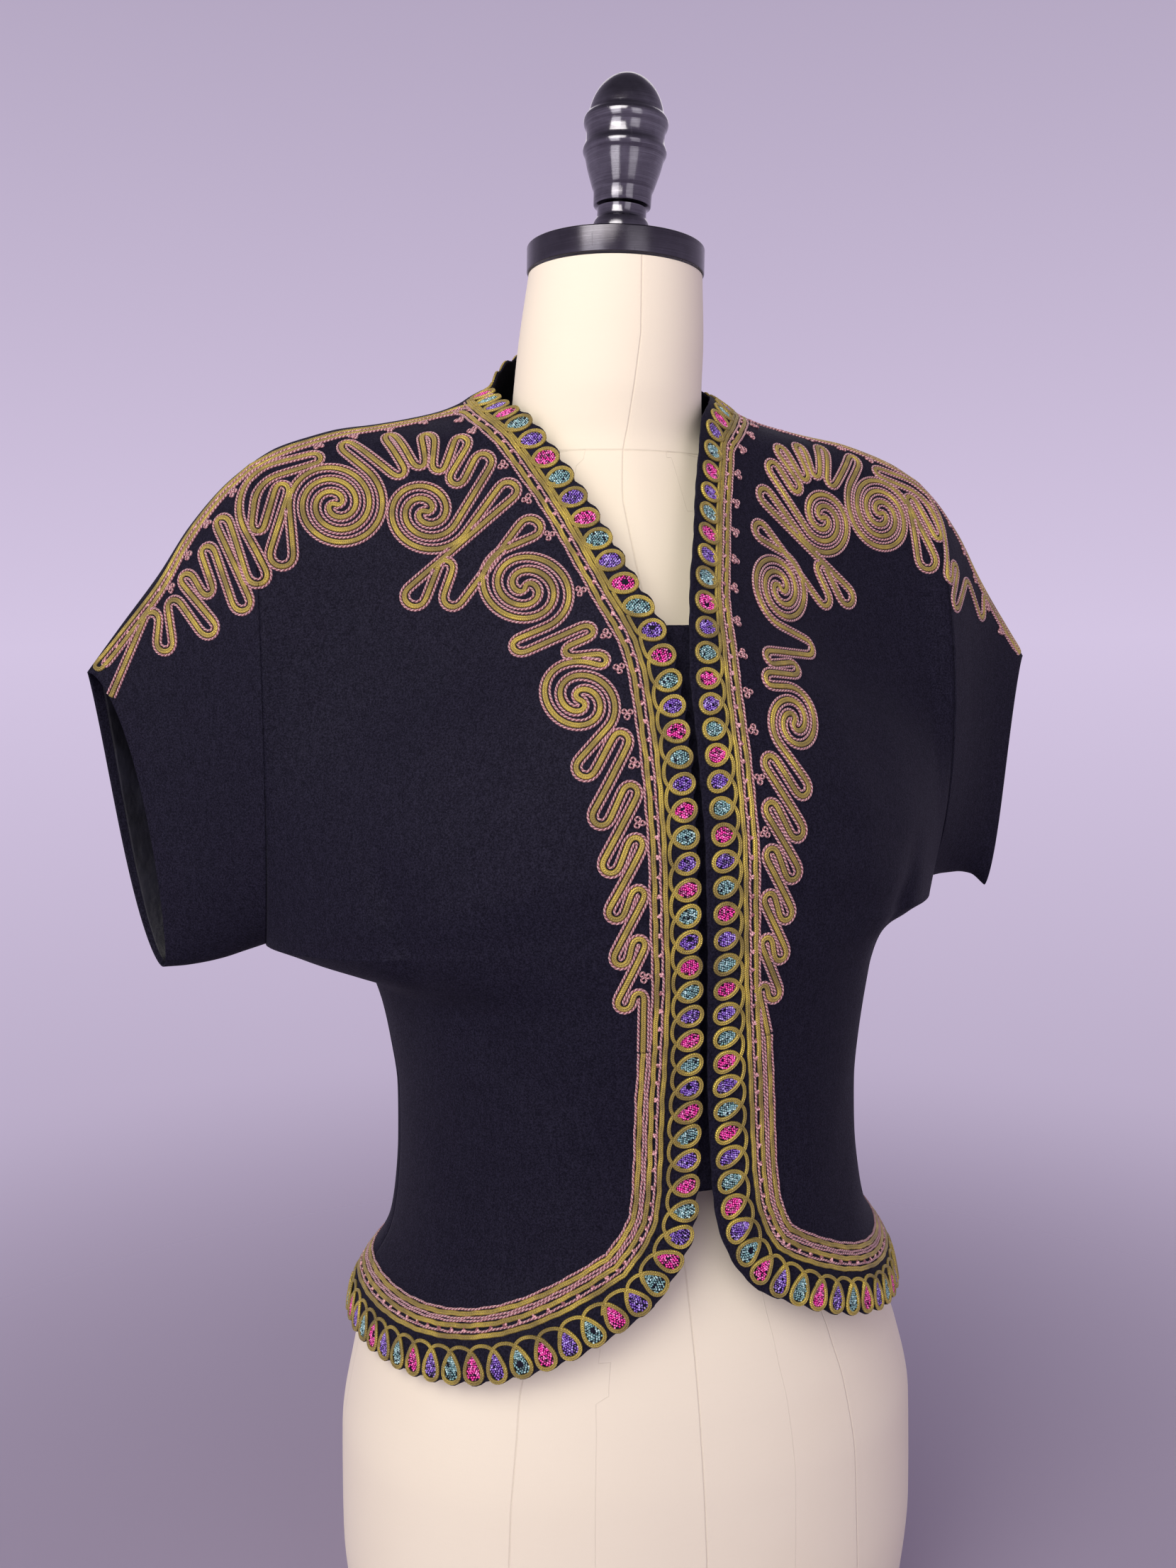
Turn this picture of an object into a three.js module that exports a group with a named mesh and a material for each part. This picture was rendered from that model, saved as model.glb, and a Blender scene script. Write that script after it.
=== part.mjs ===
// Cropped evening jacket, worn open-edged on a limbless dress form.
// Millimetres, +Z up, wearer's left at +X, front at -Y, the form's flat base at z = 0.
import * as THREE from 'three';
import { mergeVertices } from 'three/addons/utils/BufferGeometryUtils.js';

// ---------- driving dimensions ----------
const CLOTH = 2.0;             // wall of the crepe panels
const LINING = 1.0;            // wall of the satin sleeve lining
const SEAM_GAP = 0.3;          // clearance between neighbouring pieces
const PANEL_COLUMNS = 12;      // cells across half a panel
const NECK_COLUMNS = 4;        // cells along half the back neck
const SEAM_ROWS = 15;          // rows from the hem to the foot of the armhole
const ARMHOLE_ROWS = 12;       // rows up half the armhole
const SLEEVE_RINGS = 7;        // rings along a sleeve
const LINING_RINGS = 5;
const FORM_SIDES = 40;
const METAL_SIDES = 30;
const Y_CENTRE = 13.475;           // depth offset that centres the whole object on its origin
const CAP_LEAN = 1.5;          // degrees, the neck cap's lean to the wearer's left
const FINIAL_LEAN = 3.5;       // degrees, the finial's

// Front edges from the hem corner to the neck point: height, then each edge's distance from the middle and depth
const FRONT_EDGE = [
  { z: 295, right: 24.0, rightY: -130.0, left: 31.0, leftY: -130.0 },
  { z: 306, right: 14.6, rightY: -129.5, left: 21.0, leftY: -129.5 },
  { z: 318, right: 6.5, rightY: -128.5, left: 14.5, leftY: -128.5 },
  { z: 332, right: 0.8, rightY: -127.0, left: 10.0, leftY: -127.0 },
  { z: 350, right: -1.5, rightY: -125.5, left: 8.0, leftY: -125.5 },
  { z: 370, right: -2.3, rightY: -124.8, left: 7.0, leftY: -124.8 },
  { z: 400, right: -2.4, rightY: -127.5, left: 4.6, leftY: -127.5 },
  { z: 440, right: -0.9, rightY: -133.0, left: 2.6, leftY: -133.0 },
  { z: 480, right: 1.5, rightY: -138.0, left: 0.8, leftY: -138.0 },
  { z: 520, right: 2.8, rightY: -139.0, left: -0.5, leftY: -139.0 },
  { z: 560, right: 3.6, rightY: -134.0, left: -1.6, leftY: -134.0 },
  { z: 600, right: 4.8, rightY: -121.5, left: -1.4, leftY: -121.5 },
  { z: 620, right: 7.8, rightY: -114.5, left: 0.5, leftY: -115.0 },
  { z: 635, right: 12.5, rightY: -107.5, left: 3.0, leftY: -108.5 },
  { z: 650, right: 19.8, rightY: -100.0, left: 6.0, leftY: -101.5 },
  { z: 670, right: 27.5, rightY: -87.0, left: 12.4, leftY: -89.5 },
  { z: 700, right: 38.5, rightY: -64.5, left: 22.0, leftY: -68.0 },
  { z: 720, right: 48.0, rightY: -49.5, left: 28.5, leftY: -55.0 },
  { z: 738, right: 56.5, rightY: -32.0, left: 34.5, leftY: -43.0 },
  { z: 748, right: 61.8, rightY: -10.0, left: 44.0, leftY: -27.0 },
  { z: 756, right: 64.0, rightY: 10.0, left: 53.5, leftY: -5.0 },
  { z: 763, right: 64.0, rightY: 28.0, left: 64.0, leftY: 28.0 },
];

// Side seams and underarm seams: where each row ends on each side, and the level it starts from on the
// front edge and on the centre back
const SIDE_SEAM = [
  { row: 0, rightX: 160.0, rightZ: 246.0, leftX: 160.0, leftZ: 255.0, y: 8, front: 295, back: 249 },
  { row: 1, rightX: 157.5, rightZ: 258.5, leftX: 158.5, leftZ: 265.0, y: 8, front: 303, back: 260 },
  { row: 2, rightX: 151.2, rightZ: 270.5, leftX: 154.0, leftZ: 276.0, y: 8, front: 312, back: 271 },
  { row: 3, rightX: 142.0, rightZ: 282.0, leftX: 147.0, leftZ: 286.5, y: 8, front: 321, back: 282 },
  { row: 4, rightX: 135.0, rightZ: 295.0, leftX: 141.0, leftZ: 298.0, y: 9, front: 331, back: 295 },
  { row: 5, rightX: 131.5, rightZ: 313.0, leftX: 137.5, leftZ: 315.0, y: 9, front: 345, back: 312 },
  { row: 6, rightX: 129.0, rightZ: 342.0, leftX: 135.0, leftZ: 343.0, y: 10, front: 370, back: 342 },
  { row: 7, rightX: 128.5, rightZ: 372.0, leftX: 134.5, leftZ: 373.0, y: 10, front: 395, back: 372 },
  { row: 8, rightX: 131.5, rightZ: 400.0, leftX: 137.5, leftZ: 404.0, y: 11, front: 415, back: 400 },
  { row: 9, rightX: 136.2, rightZ: 424.5, leftX: 143.0, leftZ: 434.0, y: 12, front: 433, back: 425 },
  { row: 10, rightX: 141.0, rightZ: 436.5, leftX: 149.0, leftZ: 449.0, y: 13, front: 442, back: 438 },
  { row: 11, rightX: 150.0, rightZ: 442.0, leftX: 157.0, leftZ: 459.0, y: 15, front: 450, back: 446 },
  { row: 12, rightX: 163.0, rightZ: 446.0, leftX: 167.0, leftZ: 464.5, y: 17, front: 458, back: 454 },
  { row: 13, rightX: 177.0, rightZ: 450.5, leftX: 178.5, leftZ: 467.5, y: 19, front: 466, back: 463 },
  { row: 14, rightX: 189.0, rightZ: 455.0, leftX: 189.0, leftZ: 469.5, y: 21, front: 474, back: 472 },
  { row: 15, rightX: 198.0, rightZ: 458.0, leftX: 198.0, leftZ: 470.0, y: 22, front: 482, back: 482 },
];
const NECK_POINT = { x: 64, y: 28, z: 763 };

// Centre back: height and depth
const CENTRE_BACK = [
  { z: 249, y: 107 }, { z: 271, y: 104 }, { z: 300, y: 97 }, { z: 340, y: 88 }, { z: 372, y: 84 },
  { z: 410, y: 87 }, { z: 450, y: 94 }, { z: 500, y: 102 }, { z: 560, y: 109 }, { z: 610, y: 112 },
  { z: 660, y: 107 }, { z: 700, y: 97 }, { z: 740, y: 82 }, { z: 770, y: 70 }, { z: 790, y: 64 },
];

// How a row of the panel turns from the middle to the side: flatness of the middle, roundness of the end
const FRONT_TURN = [
  { level: 295, flat: 2.4, end: 0.5 }, { level: 433, flat: 2.2, end: 0.5 }, { level: 482, flat: 1.9, end: 0.62 },
  { level: 530, flat: 2.3, end: 0.85 }, { level: 570, flat: 2.4, end: 1.0 }, { level: 610, flat: 1.9, end: 1.1 },
  { level: 645, flat: 1.25, end: 1.45 }, { level: 690, flat: 1.05, end: 1.8 }, { level: 730, flat: 1.0, end: 1.5 },
  { level: 763, flat: 1.0, end: 1.2 },
];
const BACK_TURN = [
  { level: 249, flat: 2.4, end: 0.5 }, { level: 425, flat: 2.2, end: 0.5 }, { level: 482, flat: 1.9, end: 0.6 },
  { level: 540, flat: 2.1, end: 0.85 }, { level: 620, flat: 2.1, end: 1.0 }, { level: 700, flat: 1.6, end: 1.1 },
  { level: 790, flat: 1.0, end: 1.2 },
];

// Shoulder seam from the neck point to the armhole, and the back neck edge from the middle to the neck point
const SHOULDER = [
  { x: 64, y: 28, z: 763.0 }, { x: 68, y: 30, z: 761.5 }, { x: 75, y: 32, z: 758.0 }, { x: 82, y: 33, z: 753.5 },
  { x: 94, y: 34, z: 748.8 }, { x: 112, y: 34, z: 744.5 }, { x: 130, y: 34, z: 741.0 }, { x: 148, y: 34, z: 738.0 },
  { x: 165, y: 34, z: 733.0 }, { x: 182, y: 35, z: 727.0 }, { x: 197, y: 35, z: 718.0 },
];
const BACK_NECK = [
  { x: 0, y: 64, z: 790.0 }, { x: 20, y: 62, z: 789.5 }, { x: 35, y: 56.5, z: 788.0 }, { x: 48, y: 47, z: 783.0 },
  { x: 58, y: 38, z: 773.5 }, { x: 64, y: 28, z: 763.0 },
];

// Sleeve rings from the armhole (0) to the cuff (1): upper fold, lower fold, front and back swell, edge bow
const SLEEVE_RIGHT = [
  { at: 0.0, topX: 197.0, topZ: 718, botX: 198.0, botZ: 458.0, topY: 35, botY: 22, front: 55, back: 57, bow: 0, frontBow: 0 },
  { at: 0.18, topX: 211.0, topZ: 706, botX: 208.0, botZ: 454.5, topY: 36, botY: 24, front: 47, back: 49, bow: 1, frontBow: 0 },
  { at: 0.4, topX: 230.0, topZ: 684, botX: 220.0, botZ: 450.5, topY: 38, botY: 26, front: 37, back: 39, bow: 2, frontBow: 0 },
  { at: 0.6, topX: 246.5, topZ: 659, botX: 231.0, botZ: 448.0, topY: 39, botY: 28, front: 29, back: 31, bow: 2.8, frontBow: -1 },
  { at: 0.8, topX: 266.0, topZ: 633, botX: 242.0, botZ: 446.5, topY: 40, botY: 30, front: 23, back: 24, bow: 3.8, frontBow: -4.5 },
  { at: 1.0, topX: 285.0, topZ: 607, botX: 252.5, botZ: 446.0, topY: 40, botY: 32, front: 18, back: 18, bow: 5, frontBow: -12 },
];
const SLEEVE_LEFT = [
  { at: 0.0, topX: 197.0, topZ: 718, botX: 198.0, botZ: 470.0, topY: 35, botY: 22, front: 55, back: 57, bow: 0, frontBow: 0 },
  { at: 0.18, topX: 211.0, topZ: 707.5, botX: 208.0, botZ: 471.5, topY: 36, botY: 24, front: 46, back: 46, bow: -0.5, frontBow: -0.5 },
  { at: 0.4, topX: 230.0, topZ: 687.5, botX: 220.0, botZ: 472.5, topY: 38, botY: 26, front: 35, back: 34, bow: -1, frontBow: -1 },
  { at: 0.6, topX: 246.5, topZ: 663, botX: 231.0, botZ: 472.5, topY: 39, botY: 28, front: 27, back: 24, bow: -2, frontBow: -2 },
  { at: 0.8, topX: 266.0, topZ: 636.5, botX: 243.0, botZ: 470.5, topY: 40, botY: 30, front: 20, back: 16, bow: -3.5, frontBow: -4.5 },
  { at: 1.0, topX: 285.35, topZ: 608.5, botX: 255.0, botZ: 462.0, topY: 40, botY: 32, front: 15, back: 11, bow: -5, frontBow: -8 },
];
// How far each edge's bow leans towards the lower fold
const BOW_SKEW_RIGHT = { back: 0.85, front: -0.35 };
const BOW_SKEW_LEFT = { back: -1.8, front: -0.5 };
const sleeveTable = (side) => (side < 0 ? SLEEVE_RIGHT : SLEEVE_LEFT);

// Soft folds: a trough from one place to another in front view, with its width and depth
const FOLDS = [
  { side: -1, x0: 150, z0: 520, x1: 128, z1: 452, width: 9, depth: 7 },
  { side: -1, x0: 118, z0: 445, x1: 70, z1: 395, width: 13, depth: 3.5 },
  { side: -1, x0: 126, z0: 372, x1: 104, z1: 352, width: 8, depth: 3 },
  { side: 1, x0: 178, z0: 690, x1: 184, z1: 520, width: 7, depth: 5 },
  { side: 1, x0: 146, z0: 505, x1: 122, z1: 448, width: 10, depth: 6 },
];

// Dress form sections: height, middle, half width, front and back depth, squareness
const FORM = [
  { z: 0, mid: 3, half: 150, front: 104, back: 100, power: 2.2 },
  { z: 6, mid: 3, half: 155, front: 108, back: 104, power: 2.2 },
  { z: 60, mid: 3, half: 163, front: 116, back: 110, power: 2.2 },
  { z: 120, mid: 3, half: 169, front: 121, back: 112, power: 2.2 },
  { z: 180, mid: 3, half: 168, front: 121, back: 110, power: 2.2 },
  { z: 222, mid: 2, half: 160, front: 119, back: 103, power: 2.2 },
  { z: 250, mid: 0, half: 150, front: 116, back: 97, power: 2.2 },
  { z: 280, mid: 0, half: 133, front: 110, back: 90, power: 2.2 },
  { z: 312, mid: 0, half: 122, front: 102, back: 80, power: 2.2 },
  { z: 350, mid: 0, half: 117, front: 98, back: 75, power: 2.2 },
  { z: 400, mid: 0, half: 121, front: 104, back: 78, power: 2.1 },
  { z: 450, mid: -1, half: 128, front: 114, back: 86, power: 2.1 },
  { z: 510, mid: -3, half: 138, front: 121, back: 95, power: 2.0 },
  { z: 560, mid: -4, half: 140, front: 118, back: 101, power: 1.9 },
  { z: 600, mid: -6, half: 134, front: 105, back: 103, power: 1.8 },
  { z: 640, mid: -6, half: 120, front: 84, back: 100, power: 1.6 },
  { z: 680, mid: -6, half: 102, front: 63, back: 90, power: 1.6 },
  { z: 708, mid: -6, half: 80, front: 50, back: 76, power: 1.7 },
  { z: 730, mid: -6, half: 57, front: 45, back: 64, power: 1.9 },
  { z: 742, mid: -5.5, half: 53, front: 46, back: 57, power: 2.0 },
  { z: 755, mid: -5, half: 52, front: 47.5, back: 53, power: 2.0 },
  { z: 780, mid: -3, half: 51, front: 48, back: 51, power: 2.0 },
  { z: 818.3, mid: 0, half: 47.5, front: 47.5, back: 47.5, power: 2.0 },
];

const UNDERLAP = { x0: -16, x1: 14, z0: 346, z1: 628, behind: 7, wall: 1.4, columns: 4, rows: 18 };
const CAP = { radius: 48.5, z: 819.1, height: 14, edge: 1.6 };
const FINIAL = { lift: 0.9, aside: 2.4, profile: [
  { r: 16.5, z: 0 }, { r: 16.5, z: 8.5 }, { r: 15.2, z: 13.4 }, { r: 13.5, z: 15.8 }, { r: 13.5, z: 20.7 },
  { r: 15.7, z: 22.0 }, { r: 15.9, z: 29.6 }, { r: 17.6, z: 34.6 }, { r: 19.9, z: 40.2 }, { r: 21.4, z: 46.5 },
  { r: 22.6, z: 48.7 }, { r: 23.1, z: 50.7 }, { r: 22.4, z: 52.8 }, { r: 21.3, z: 55.6 }, { r: 21.3, z: 60.2 },
  { r: 22.6, z: 63.2 }, { r: 23.3, z: 66.0 }, { r: 22.4, z: 68.6 }, { r: 20.4, z: 71.0 }, { r: 18.4, z: 78.2 },
  { r: 15.2, z: 83.6 }, { r: 11.0, z: 88.0 }, { r: 5.6, z: 91.2 },
], top: 92.1 };

const BLACK_CREPE = { color: 0x14131c, roughness: 0.8, metalness: 0 };
const BLACK_SATIN = { color: 0x12131f, roughness: 0.4, metalness: 0 };
const IVORY_COTTON = { color: 0xe6d9be, roughness: 0.9, metalness: 0 };
const STEEL = { color: 0x9a9aa2, roughness: 0.3, metalness: 1 };

// ---------- smooth tables ----------
// Monotone cubic through the rows of a table, from column `key` to column `value`
function along(table, key, value, at) {
  const last = table.length - 1;
  const x = Math.min(Math.max(at, table[0][key]), table[last][key]);
  let i = 0;
  while (i < last - 1 && x > table[i + 1][key]) i += 1;
  const step = (j) => table[j + 1][key] - table[j][key];
  const rise = (j) => (table[j + 1][value] - table[j][value]) / step(j);
  const slope = (j) => {
    if (j === 0) return rise(0);
    if (j === last) return rise(last - 1);
    const before = rise(j - 1);
    const after = rise(j);
    return before * after <= 0 ? 0 : (2 * before * after) / (before + after);
  };
  const h = step(i);
  const t = (x - table[i][key]) / h;
  const a = table[i][value];
  const b = table[i + 1][value];
  return a * (1 + 2 * t) * (1 - t) ** 2 + slope(i) * h * t * (1 - t) ** 2
    + b * t * t * (3 - 2 * t) - slope(i + 1) * h * t * t * (1 - t);
}
const mix = (a, b, t) => a + (b - a) * t;
const clamp01 = (t) => Math.min(Math.max(t, 0), 1);

// ---------- closed walls ----------
// Area-weighted normals of a grid of points, wrapped across the columns when `ring` is set
function gridNormals(points, ring, sign) {
  const rows = points.length;
  const columns = points[0].length;
  return points.map((row, i) => row.map((_, j) => {
    const down = points[Math.max(i - 1, 0)][j];
    const up = points[Math.min(i + 1, rows - 1)][j];
    const left = row[ring ? (j - 1 + columns) % columns : Math.max(j - 1, 0)];
    const right = row[ring ? (j + 1) % columns : Math.min(j + 1, columns - 1)];
    const across = new THREE.Vector3().subVectors(right, left);
    const along2 = new THREE.Vector3().subVectors(up, down);
    return across.cross(along2).normalize().multiplyScalar(sign);
  }));
}

const offsetGrid = (points, normals, distance) => points.map((row, i) => row.map(
  (point, j) => point.clone().addScaledVector(normals[i][j], distance),
));

// Turns an outer and an inner grid into one closed body
function wallGeometry(outer, inner, ring, sign) {
  const positions = [];
  const quad = (a, b, c, d) => {
    const corners = sign > 0 ? [a, b, c, a, c, d] : [a, c, b, a, d, c];
    corners.forEach((p) => positions.push(p.x, p.y, p.z));
  };
  const rows = outer.length;
  const columns = outer[0].length;
  const lastColumn = ring ? columns : columns - 1;
  for (let i = 0; i < rows - 1; i += 1) {
    for (let j = 0; j < lastColumn; j += 1) {
      const k = (j + 1) % columns;
      quad(outer[i][j], outer[i][k], outer[i + 1][k], outer[i + 1][j]);
      quad(inner[i][k], inner[i][j], inner[i + 1][j], inner[i + 1][k]);
    }
  }
  for (let j = 0; j < lastColumn; j += 1) {
    const k = (j + 1) % columns;
    quad(inner[0][j], inner[0][k], outer[0][k], outer[0][j]);
    quad(outer[rows - 1][j], outer[rows - 1][k], inner[rows - 1][k], inner[rows - 1][j]);
  }
  if (!ring) {
    for (let i = 0; i < rows - 1; i += 1) {
      quad(inner[i][0], outer[i][0], outer[i + 1][0], inner[i + 1][0]);
      quad(outer[i][columns - 1], inner[i][columns - 1], inner[i + 1][columns - 1], outer[i + 1][columns - 1]);
    }
  }
  const geometry = new THREE.BufferGeometry();
  geometry.setAttribute('position', new THREE.Float32BufferAttribute(positions, 3));
  return mergeVertices(geometry, 1e-4);
}

function node(name, geometry, look) {
  geometry.computeVertexNormals();
  const mesh = new THREE.Mesh(geometry, new THREE.MeshStandardMaterial(look));
  mesh.name = name;
  return mesh;
}

// ---------- the cut of the jacket ----------
const ROWS = SEAM_ROWS + ARMHOLE_ROWS;
const HALF_BACK = NECK_COLUMNS + PANEL_COLUMNS;

// Point of the armhole seam at `angle` from the shoulder (0) to the underarm (PI); face -1 front, +1 back
function armholePoint(angle, face, side) {
  const s = sleeveTable(side)[0];
  const t = (1 - Math.cos(angle)) / 2;
  const swell = face < 0 ? s.front : s.back;
  return new THREE.Vector3(
    mix(s.topX, s.botX, t),
    mix(s.topY, s.botY, t) + face * swell * Math.sin(angle),
    mix(s.topZ, s.botZ, t),
  );
}

// Where a row ends: on the side seam, then the underarm seam, then the armhole
function outerPoint(row, panel) {
  if (row <= SEAM_ROWS) {
    const columns = panel.side < 0 ? ['rightX', 'y', 'rightZ'] : ['leftX', 'y', 'leftZ'];
    return new THREE.Vector3(...columns.map((column) => along(SIDE_SEAM, 'row', column, row)));
  }
  return armholePoint(Math.PI * (1 - (row - SEAM_ROWS) / ARMHOLE_ROWS), panel.face, panel.side);
}

function levelOf(row, column, top) {
  if (row <= SEAM_ROWS) return along(SIDE_SEAM, 'row', column, row);
  const share = (row - SEAM_ROWS) / ARMHOLE_ROWS;
  return mix(SIDE_SEAM[SEAM_ROWS][column], top, (share + Math.sin((share * Math.PI) / 2)) / 2);
}

function foldDepth(x, z, side) {
  let depth = 0;
  FOLDS.filter((f) => f.side === side).forEach((f) => {
    const dx = f.x1 - f.x0;
    const dz = f.z1 - f.z0;
    const t = clamp01(((x - f.x0) * dx + (z - f.z0) * dz) / (dx * dx + dz * dz));
    const away = Math.hypot(x - f.x0 - dx * t, z - f.z0 - dz * t) / f.width;
    depth += f.depth * Math.exp(-away * away) * Math.sin(Math.PI * mix(0.15, 0.85, t));
  });
  return depth;
}

// A point of a panel: `u` 0 at its middle edge and 1 at its seam, `row` from the hem up
function panelPoint(u, row, panel) {
  const level = levelOf(row, panel.levelColumn, panel.topLevel);
  const inner = panel.middle(level);
  const outer = outerPoint(row, panel);
  const flat = along(panel.turn, 'level', 'flat', level);
  const end = along(panel.turn, 'level', 'end', level);
  const round = clamp01(2 * (1 - end));
  const across = mix(u, Math.sin((u * Math.PI) / 2), round);
  const point = new THREE.Vector3(
    mix(inner.x, outer.x, across),
    mix(outer.y, inner.y, Math.max(1 - across ** flat, 0) ** end),
    mix(inner.z, outer.z, across),
  );
  // the hem sags in a curve from the front corner, and the top row lies on the neck and shoulder seam
  const hem = panel.hemSag * Math.max(1 - row / 6, 0) ** 2;
  point.z -= hem * (inner.z - outer.z) * across * (1 - across);
  const topShare = clamp01((row - ROWS + 8) / 8) ** 2;
  const topAcross = u;
  const straight = panelTopStraight(topAcross, panel);
  const seam = panel.topEdge(mix(panel.middle(panel.topLevel).x, SHOULDER[SHOULDER.length - 1].x, topAcross));
  point.y += topShare * (seam.y - straight.y);
  point.z += topShare * (seam.z - straight.z);
  point.y += foldDepth(point.x, point.z, panel.side) * Math.sin(Math.PI * clamp01(u)) * (panel.face < 0 ? 1 : 0);
  return point;
}

function panelTopStraight(across, panel) {
  const inner = panel.middle(panel.topLevel);
  const outer = outerPoint(ROWS, panel);
  const flat = along(panel.turn, 'level', 'flat', panel.topLevel);
  const end = along(panel.turn, 'level', 'end', panel.topLevel);
  return {
    y: mix(outer.y, inner.y, Math.max(1 - across ** flat, 0) ** end),
    z: mix(inner.z, outer.z, across),
  };
}

const onTable = (table, x) => ({ y: along(table, 'x', 'y', x), z: along(table, 'x', 'z', x) });
const backTopEdge = (x) => onTable(x < NECK_POINT.x ? BACK_NECK : SHOULDER, x);

function frontPanel(side) {
  const column = side < 0 ? 'right' : 'left';
  return {
    side,
    face: -1,
    turn: FRONT_TURN,
    levelColumn: 'front',
    topLevel: NECK_POINT.z,
    hemSag: 0.85,
    middle: (z) => ({ x: along(FRONT_EDGE, 'z', column, z), y: along(FRONT_EDGE, 'z', `${column}Y`, z), z }),
    topEdge: (x) => onTable(SHOULDER, x),
  };
}
const backPanel = (side) => ({
  side,
  face: 1,
  turn: BACK_TURN,
  levelColumn: 'back',
  topLevel: CENTRE_BACK[CENTRE_BACK.length - 1].z,
  hemSag: 0,
  middle: (z) => ({ x: 0, y: along(CENTRE_BACK, 'z', 'y', z), z }),
  topEdge: backTopEdge,
});

const placed = (point, side) => new THREE.Vector3(side * point.x, point.y, point.z);

// Outer points of a front, its seams drawn back by half the seam clearance
function frontGrid(side) {
  const panel = frontPanel(side);
  const grid = [];
  for (let row = 0; row <= ROWS; row += 1) {
    const line = [];
    for (let j = 0; j <= PANEL_COLUMNS; j += 1) line.push(placed(panelPoint(j / PANEL_COLUMNS, row, panel), side));
    grid.push(line);
  }
  return grid;
}

function backGrid() {
  const xTop = SHOULDER[SHOULDER.length - 1].x;
  const half = [];
  for (let j = 0; j < NECK_COLUMNS; j += 1) half.push((NECK_POINT.x / xTop) * (j / NECK_COLUMNS));
  for (let j = 0; j <= PANEL_COLUMNS; j += 1) half.push(mix(NECK_POINT.x, xTop, j / PANEL_COLUMNS) / xTop);
  const grid = [];
  for (let row = 0; row <= ROWS; row += 1) {
    const right = half.slice(1).reverse().map((u) => placed(panelPoint(u, row, backPanel(-1)), -1));
    const left = half.map((u) => placed(panelPoint(u, row, backPanel(1)), 1));
    grid.push([...right, ...left]);
  }
  return grid;
}

// Draws the last row and the end columns back, so that neighbouring walls keep the seam clearance
function trimmed(grid, ends) {
  const pull = (from, to) => from.clone().lerp(to, SEAM_GAP / from.distanceTo(to));
  const rows = grid.length;
  const last = grid[0].length - 1;
  const result = grid.map((row) => row.slice());
  for (let i = 0; i < rows; i += 1) {
    if (ends.first) result[i][0] = pull(grid[i][0], grid[i][1]);
    if (ends.last) result[i][last] = pull(grid[i][last], grid[i][last - 1]);
  }
  for (let j = 0; j <= last; j += 1) {
    if (ends.top) result[rows - 1][j] = pull(result[rows - 1][j], result[rows - 2][j]);
  }
  return result;
}

// Neighbouring walls share the direction of their thickness along a seam: level across the side and
// shoulder seams, and inside the plane of the armhole
function squareToSeams(normals, sideColumns, seamFrom) {
  const top = normals.length - 1;
  normals[top].forEach((normal, j) => {
    if (seamFrom(j)) normal.setY(0).normalize();
  });
  normals.forEach((line, row) => sideColumns.forEach((j) => {
    const normal = line[j];
    if (row === SEAM_ROWS) normal.set(0, 0, -1);
    else if (row === top) normal.set(0, 0, 1);
    else if (row < SEAM_ROWS) normal.setY(0);
    else normal.setX(0);
    normal.normalize();
  }));
  return normals;
}

function panelNode(name, grid, sign, sideColumns, onShoulder) {
  const normals = squareToSeams(gridNormals(grid, false, sign), sideColumns, onShoulder);
  return node(name, wallGeometry(grid, offsetGrid(grid, normals, -CLOTH), false, sign), BLACK_CREPE);
}

// ---------- sleeves ----------
function sleeveRing(at, side) {
  const table = sleeveTable(side);
  const s = Object.fromEntries(Object.keys(table[0]).map((key) => [key, along(table, 'at', key, at)]));
  const ring = [];
  for (let k = 0; k < 2 * ARMHOLE_ROWS; k += 1) {
    const angle = (Math.PI * k) / ARMHOLE_ROWS;
    const t = (1 - Math.cos(angle)) / 2;
    const inFront = Math.sin(angle) > 0;
    const swell = inFront ? s.front : s.back;
    const skews = side < 0 ? BOW_SKEW_RIGHT : BOW_SKEW_LEFT;
    const skew = inFront ? skews.front : skews.back;
    const bow = (inFront ? s.frontBow : s.bow) * (1 + skew * (2 * t - 1));
    ring.push(new THREE.Vector3(
      side * (mix(s.topX, s.botX, t) + bow * Math.abs(Math.sin(angle))),
      mix(s.topY, s.botY, t) - swell * Math.sin(angle),
      mix(s.topZ, s.botZ, t),
    ));
  }
  return ring;
}

function sleeveGrid(from, to, rings, side) {
  const grid = [];
  for (let i = 0; i <= rings; i += 1) grid.push(sleeveRing(mix(from, to, i / rings), side));
  return grid;
}

function sleeveNode(name, side) {
  const grid = sleeveGrid(0.003, 1, SLEEVE_RINGS, side);
  const normals = gridNormals(grid, true, side);
  normals[0].forEach((normal) => normal.setX(0).normalize());
  return node(name, wallGeometry(grid, offsetGrid(grid, normals, -CLOTH), true, side), BLACK_CREPE);
}

function sleeveLiningNode(name, side) {
  const grid = sleeveGrid(0.3, 0.965, LINING_RINGS, side);
  const normals = gridNormals(grid, true, side);
  const outer = offsetGrid(grid, normals, -CLOTH - 3 * SEAM_GAP);
  const inner = offsetGrid(grid, normals, -CLOTH - 3 * SEAM_GAP - LINING);
  return node(name, wallGeometry(outer, inner, true, side), BLACK_SATIN);
}

// ---------- underlap ----------
function underlapNode() {
  const u = UNDERLAP;
  const grid = [];
  for (let i = 0; i <= u.rows; i += 1) {
    const z = mix(u.z0, u.z1, i / u.rows);
    const y = along(FRONT_EDGE, 'z', 'rightY', z) + u.behind;
    const line = [];
    for (let j = 0; j <= u.columns; j += 1) line.push(new THREE.Vector3(mix(u.x0, u.x1, j / u.columns), y, z));
    grid.push(line);
  }
  const normals = gridNormals(grid, false, 1);
  return node('underlap', wallGeometry(grid, offsetGrid(grid, normals, -u.wall), false, 1), BLACK_CREPE);
}

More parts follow.
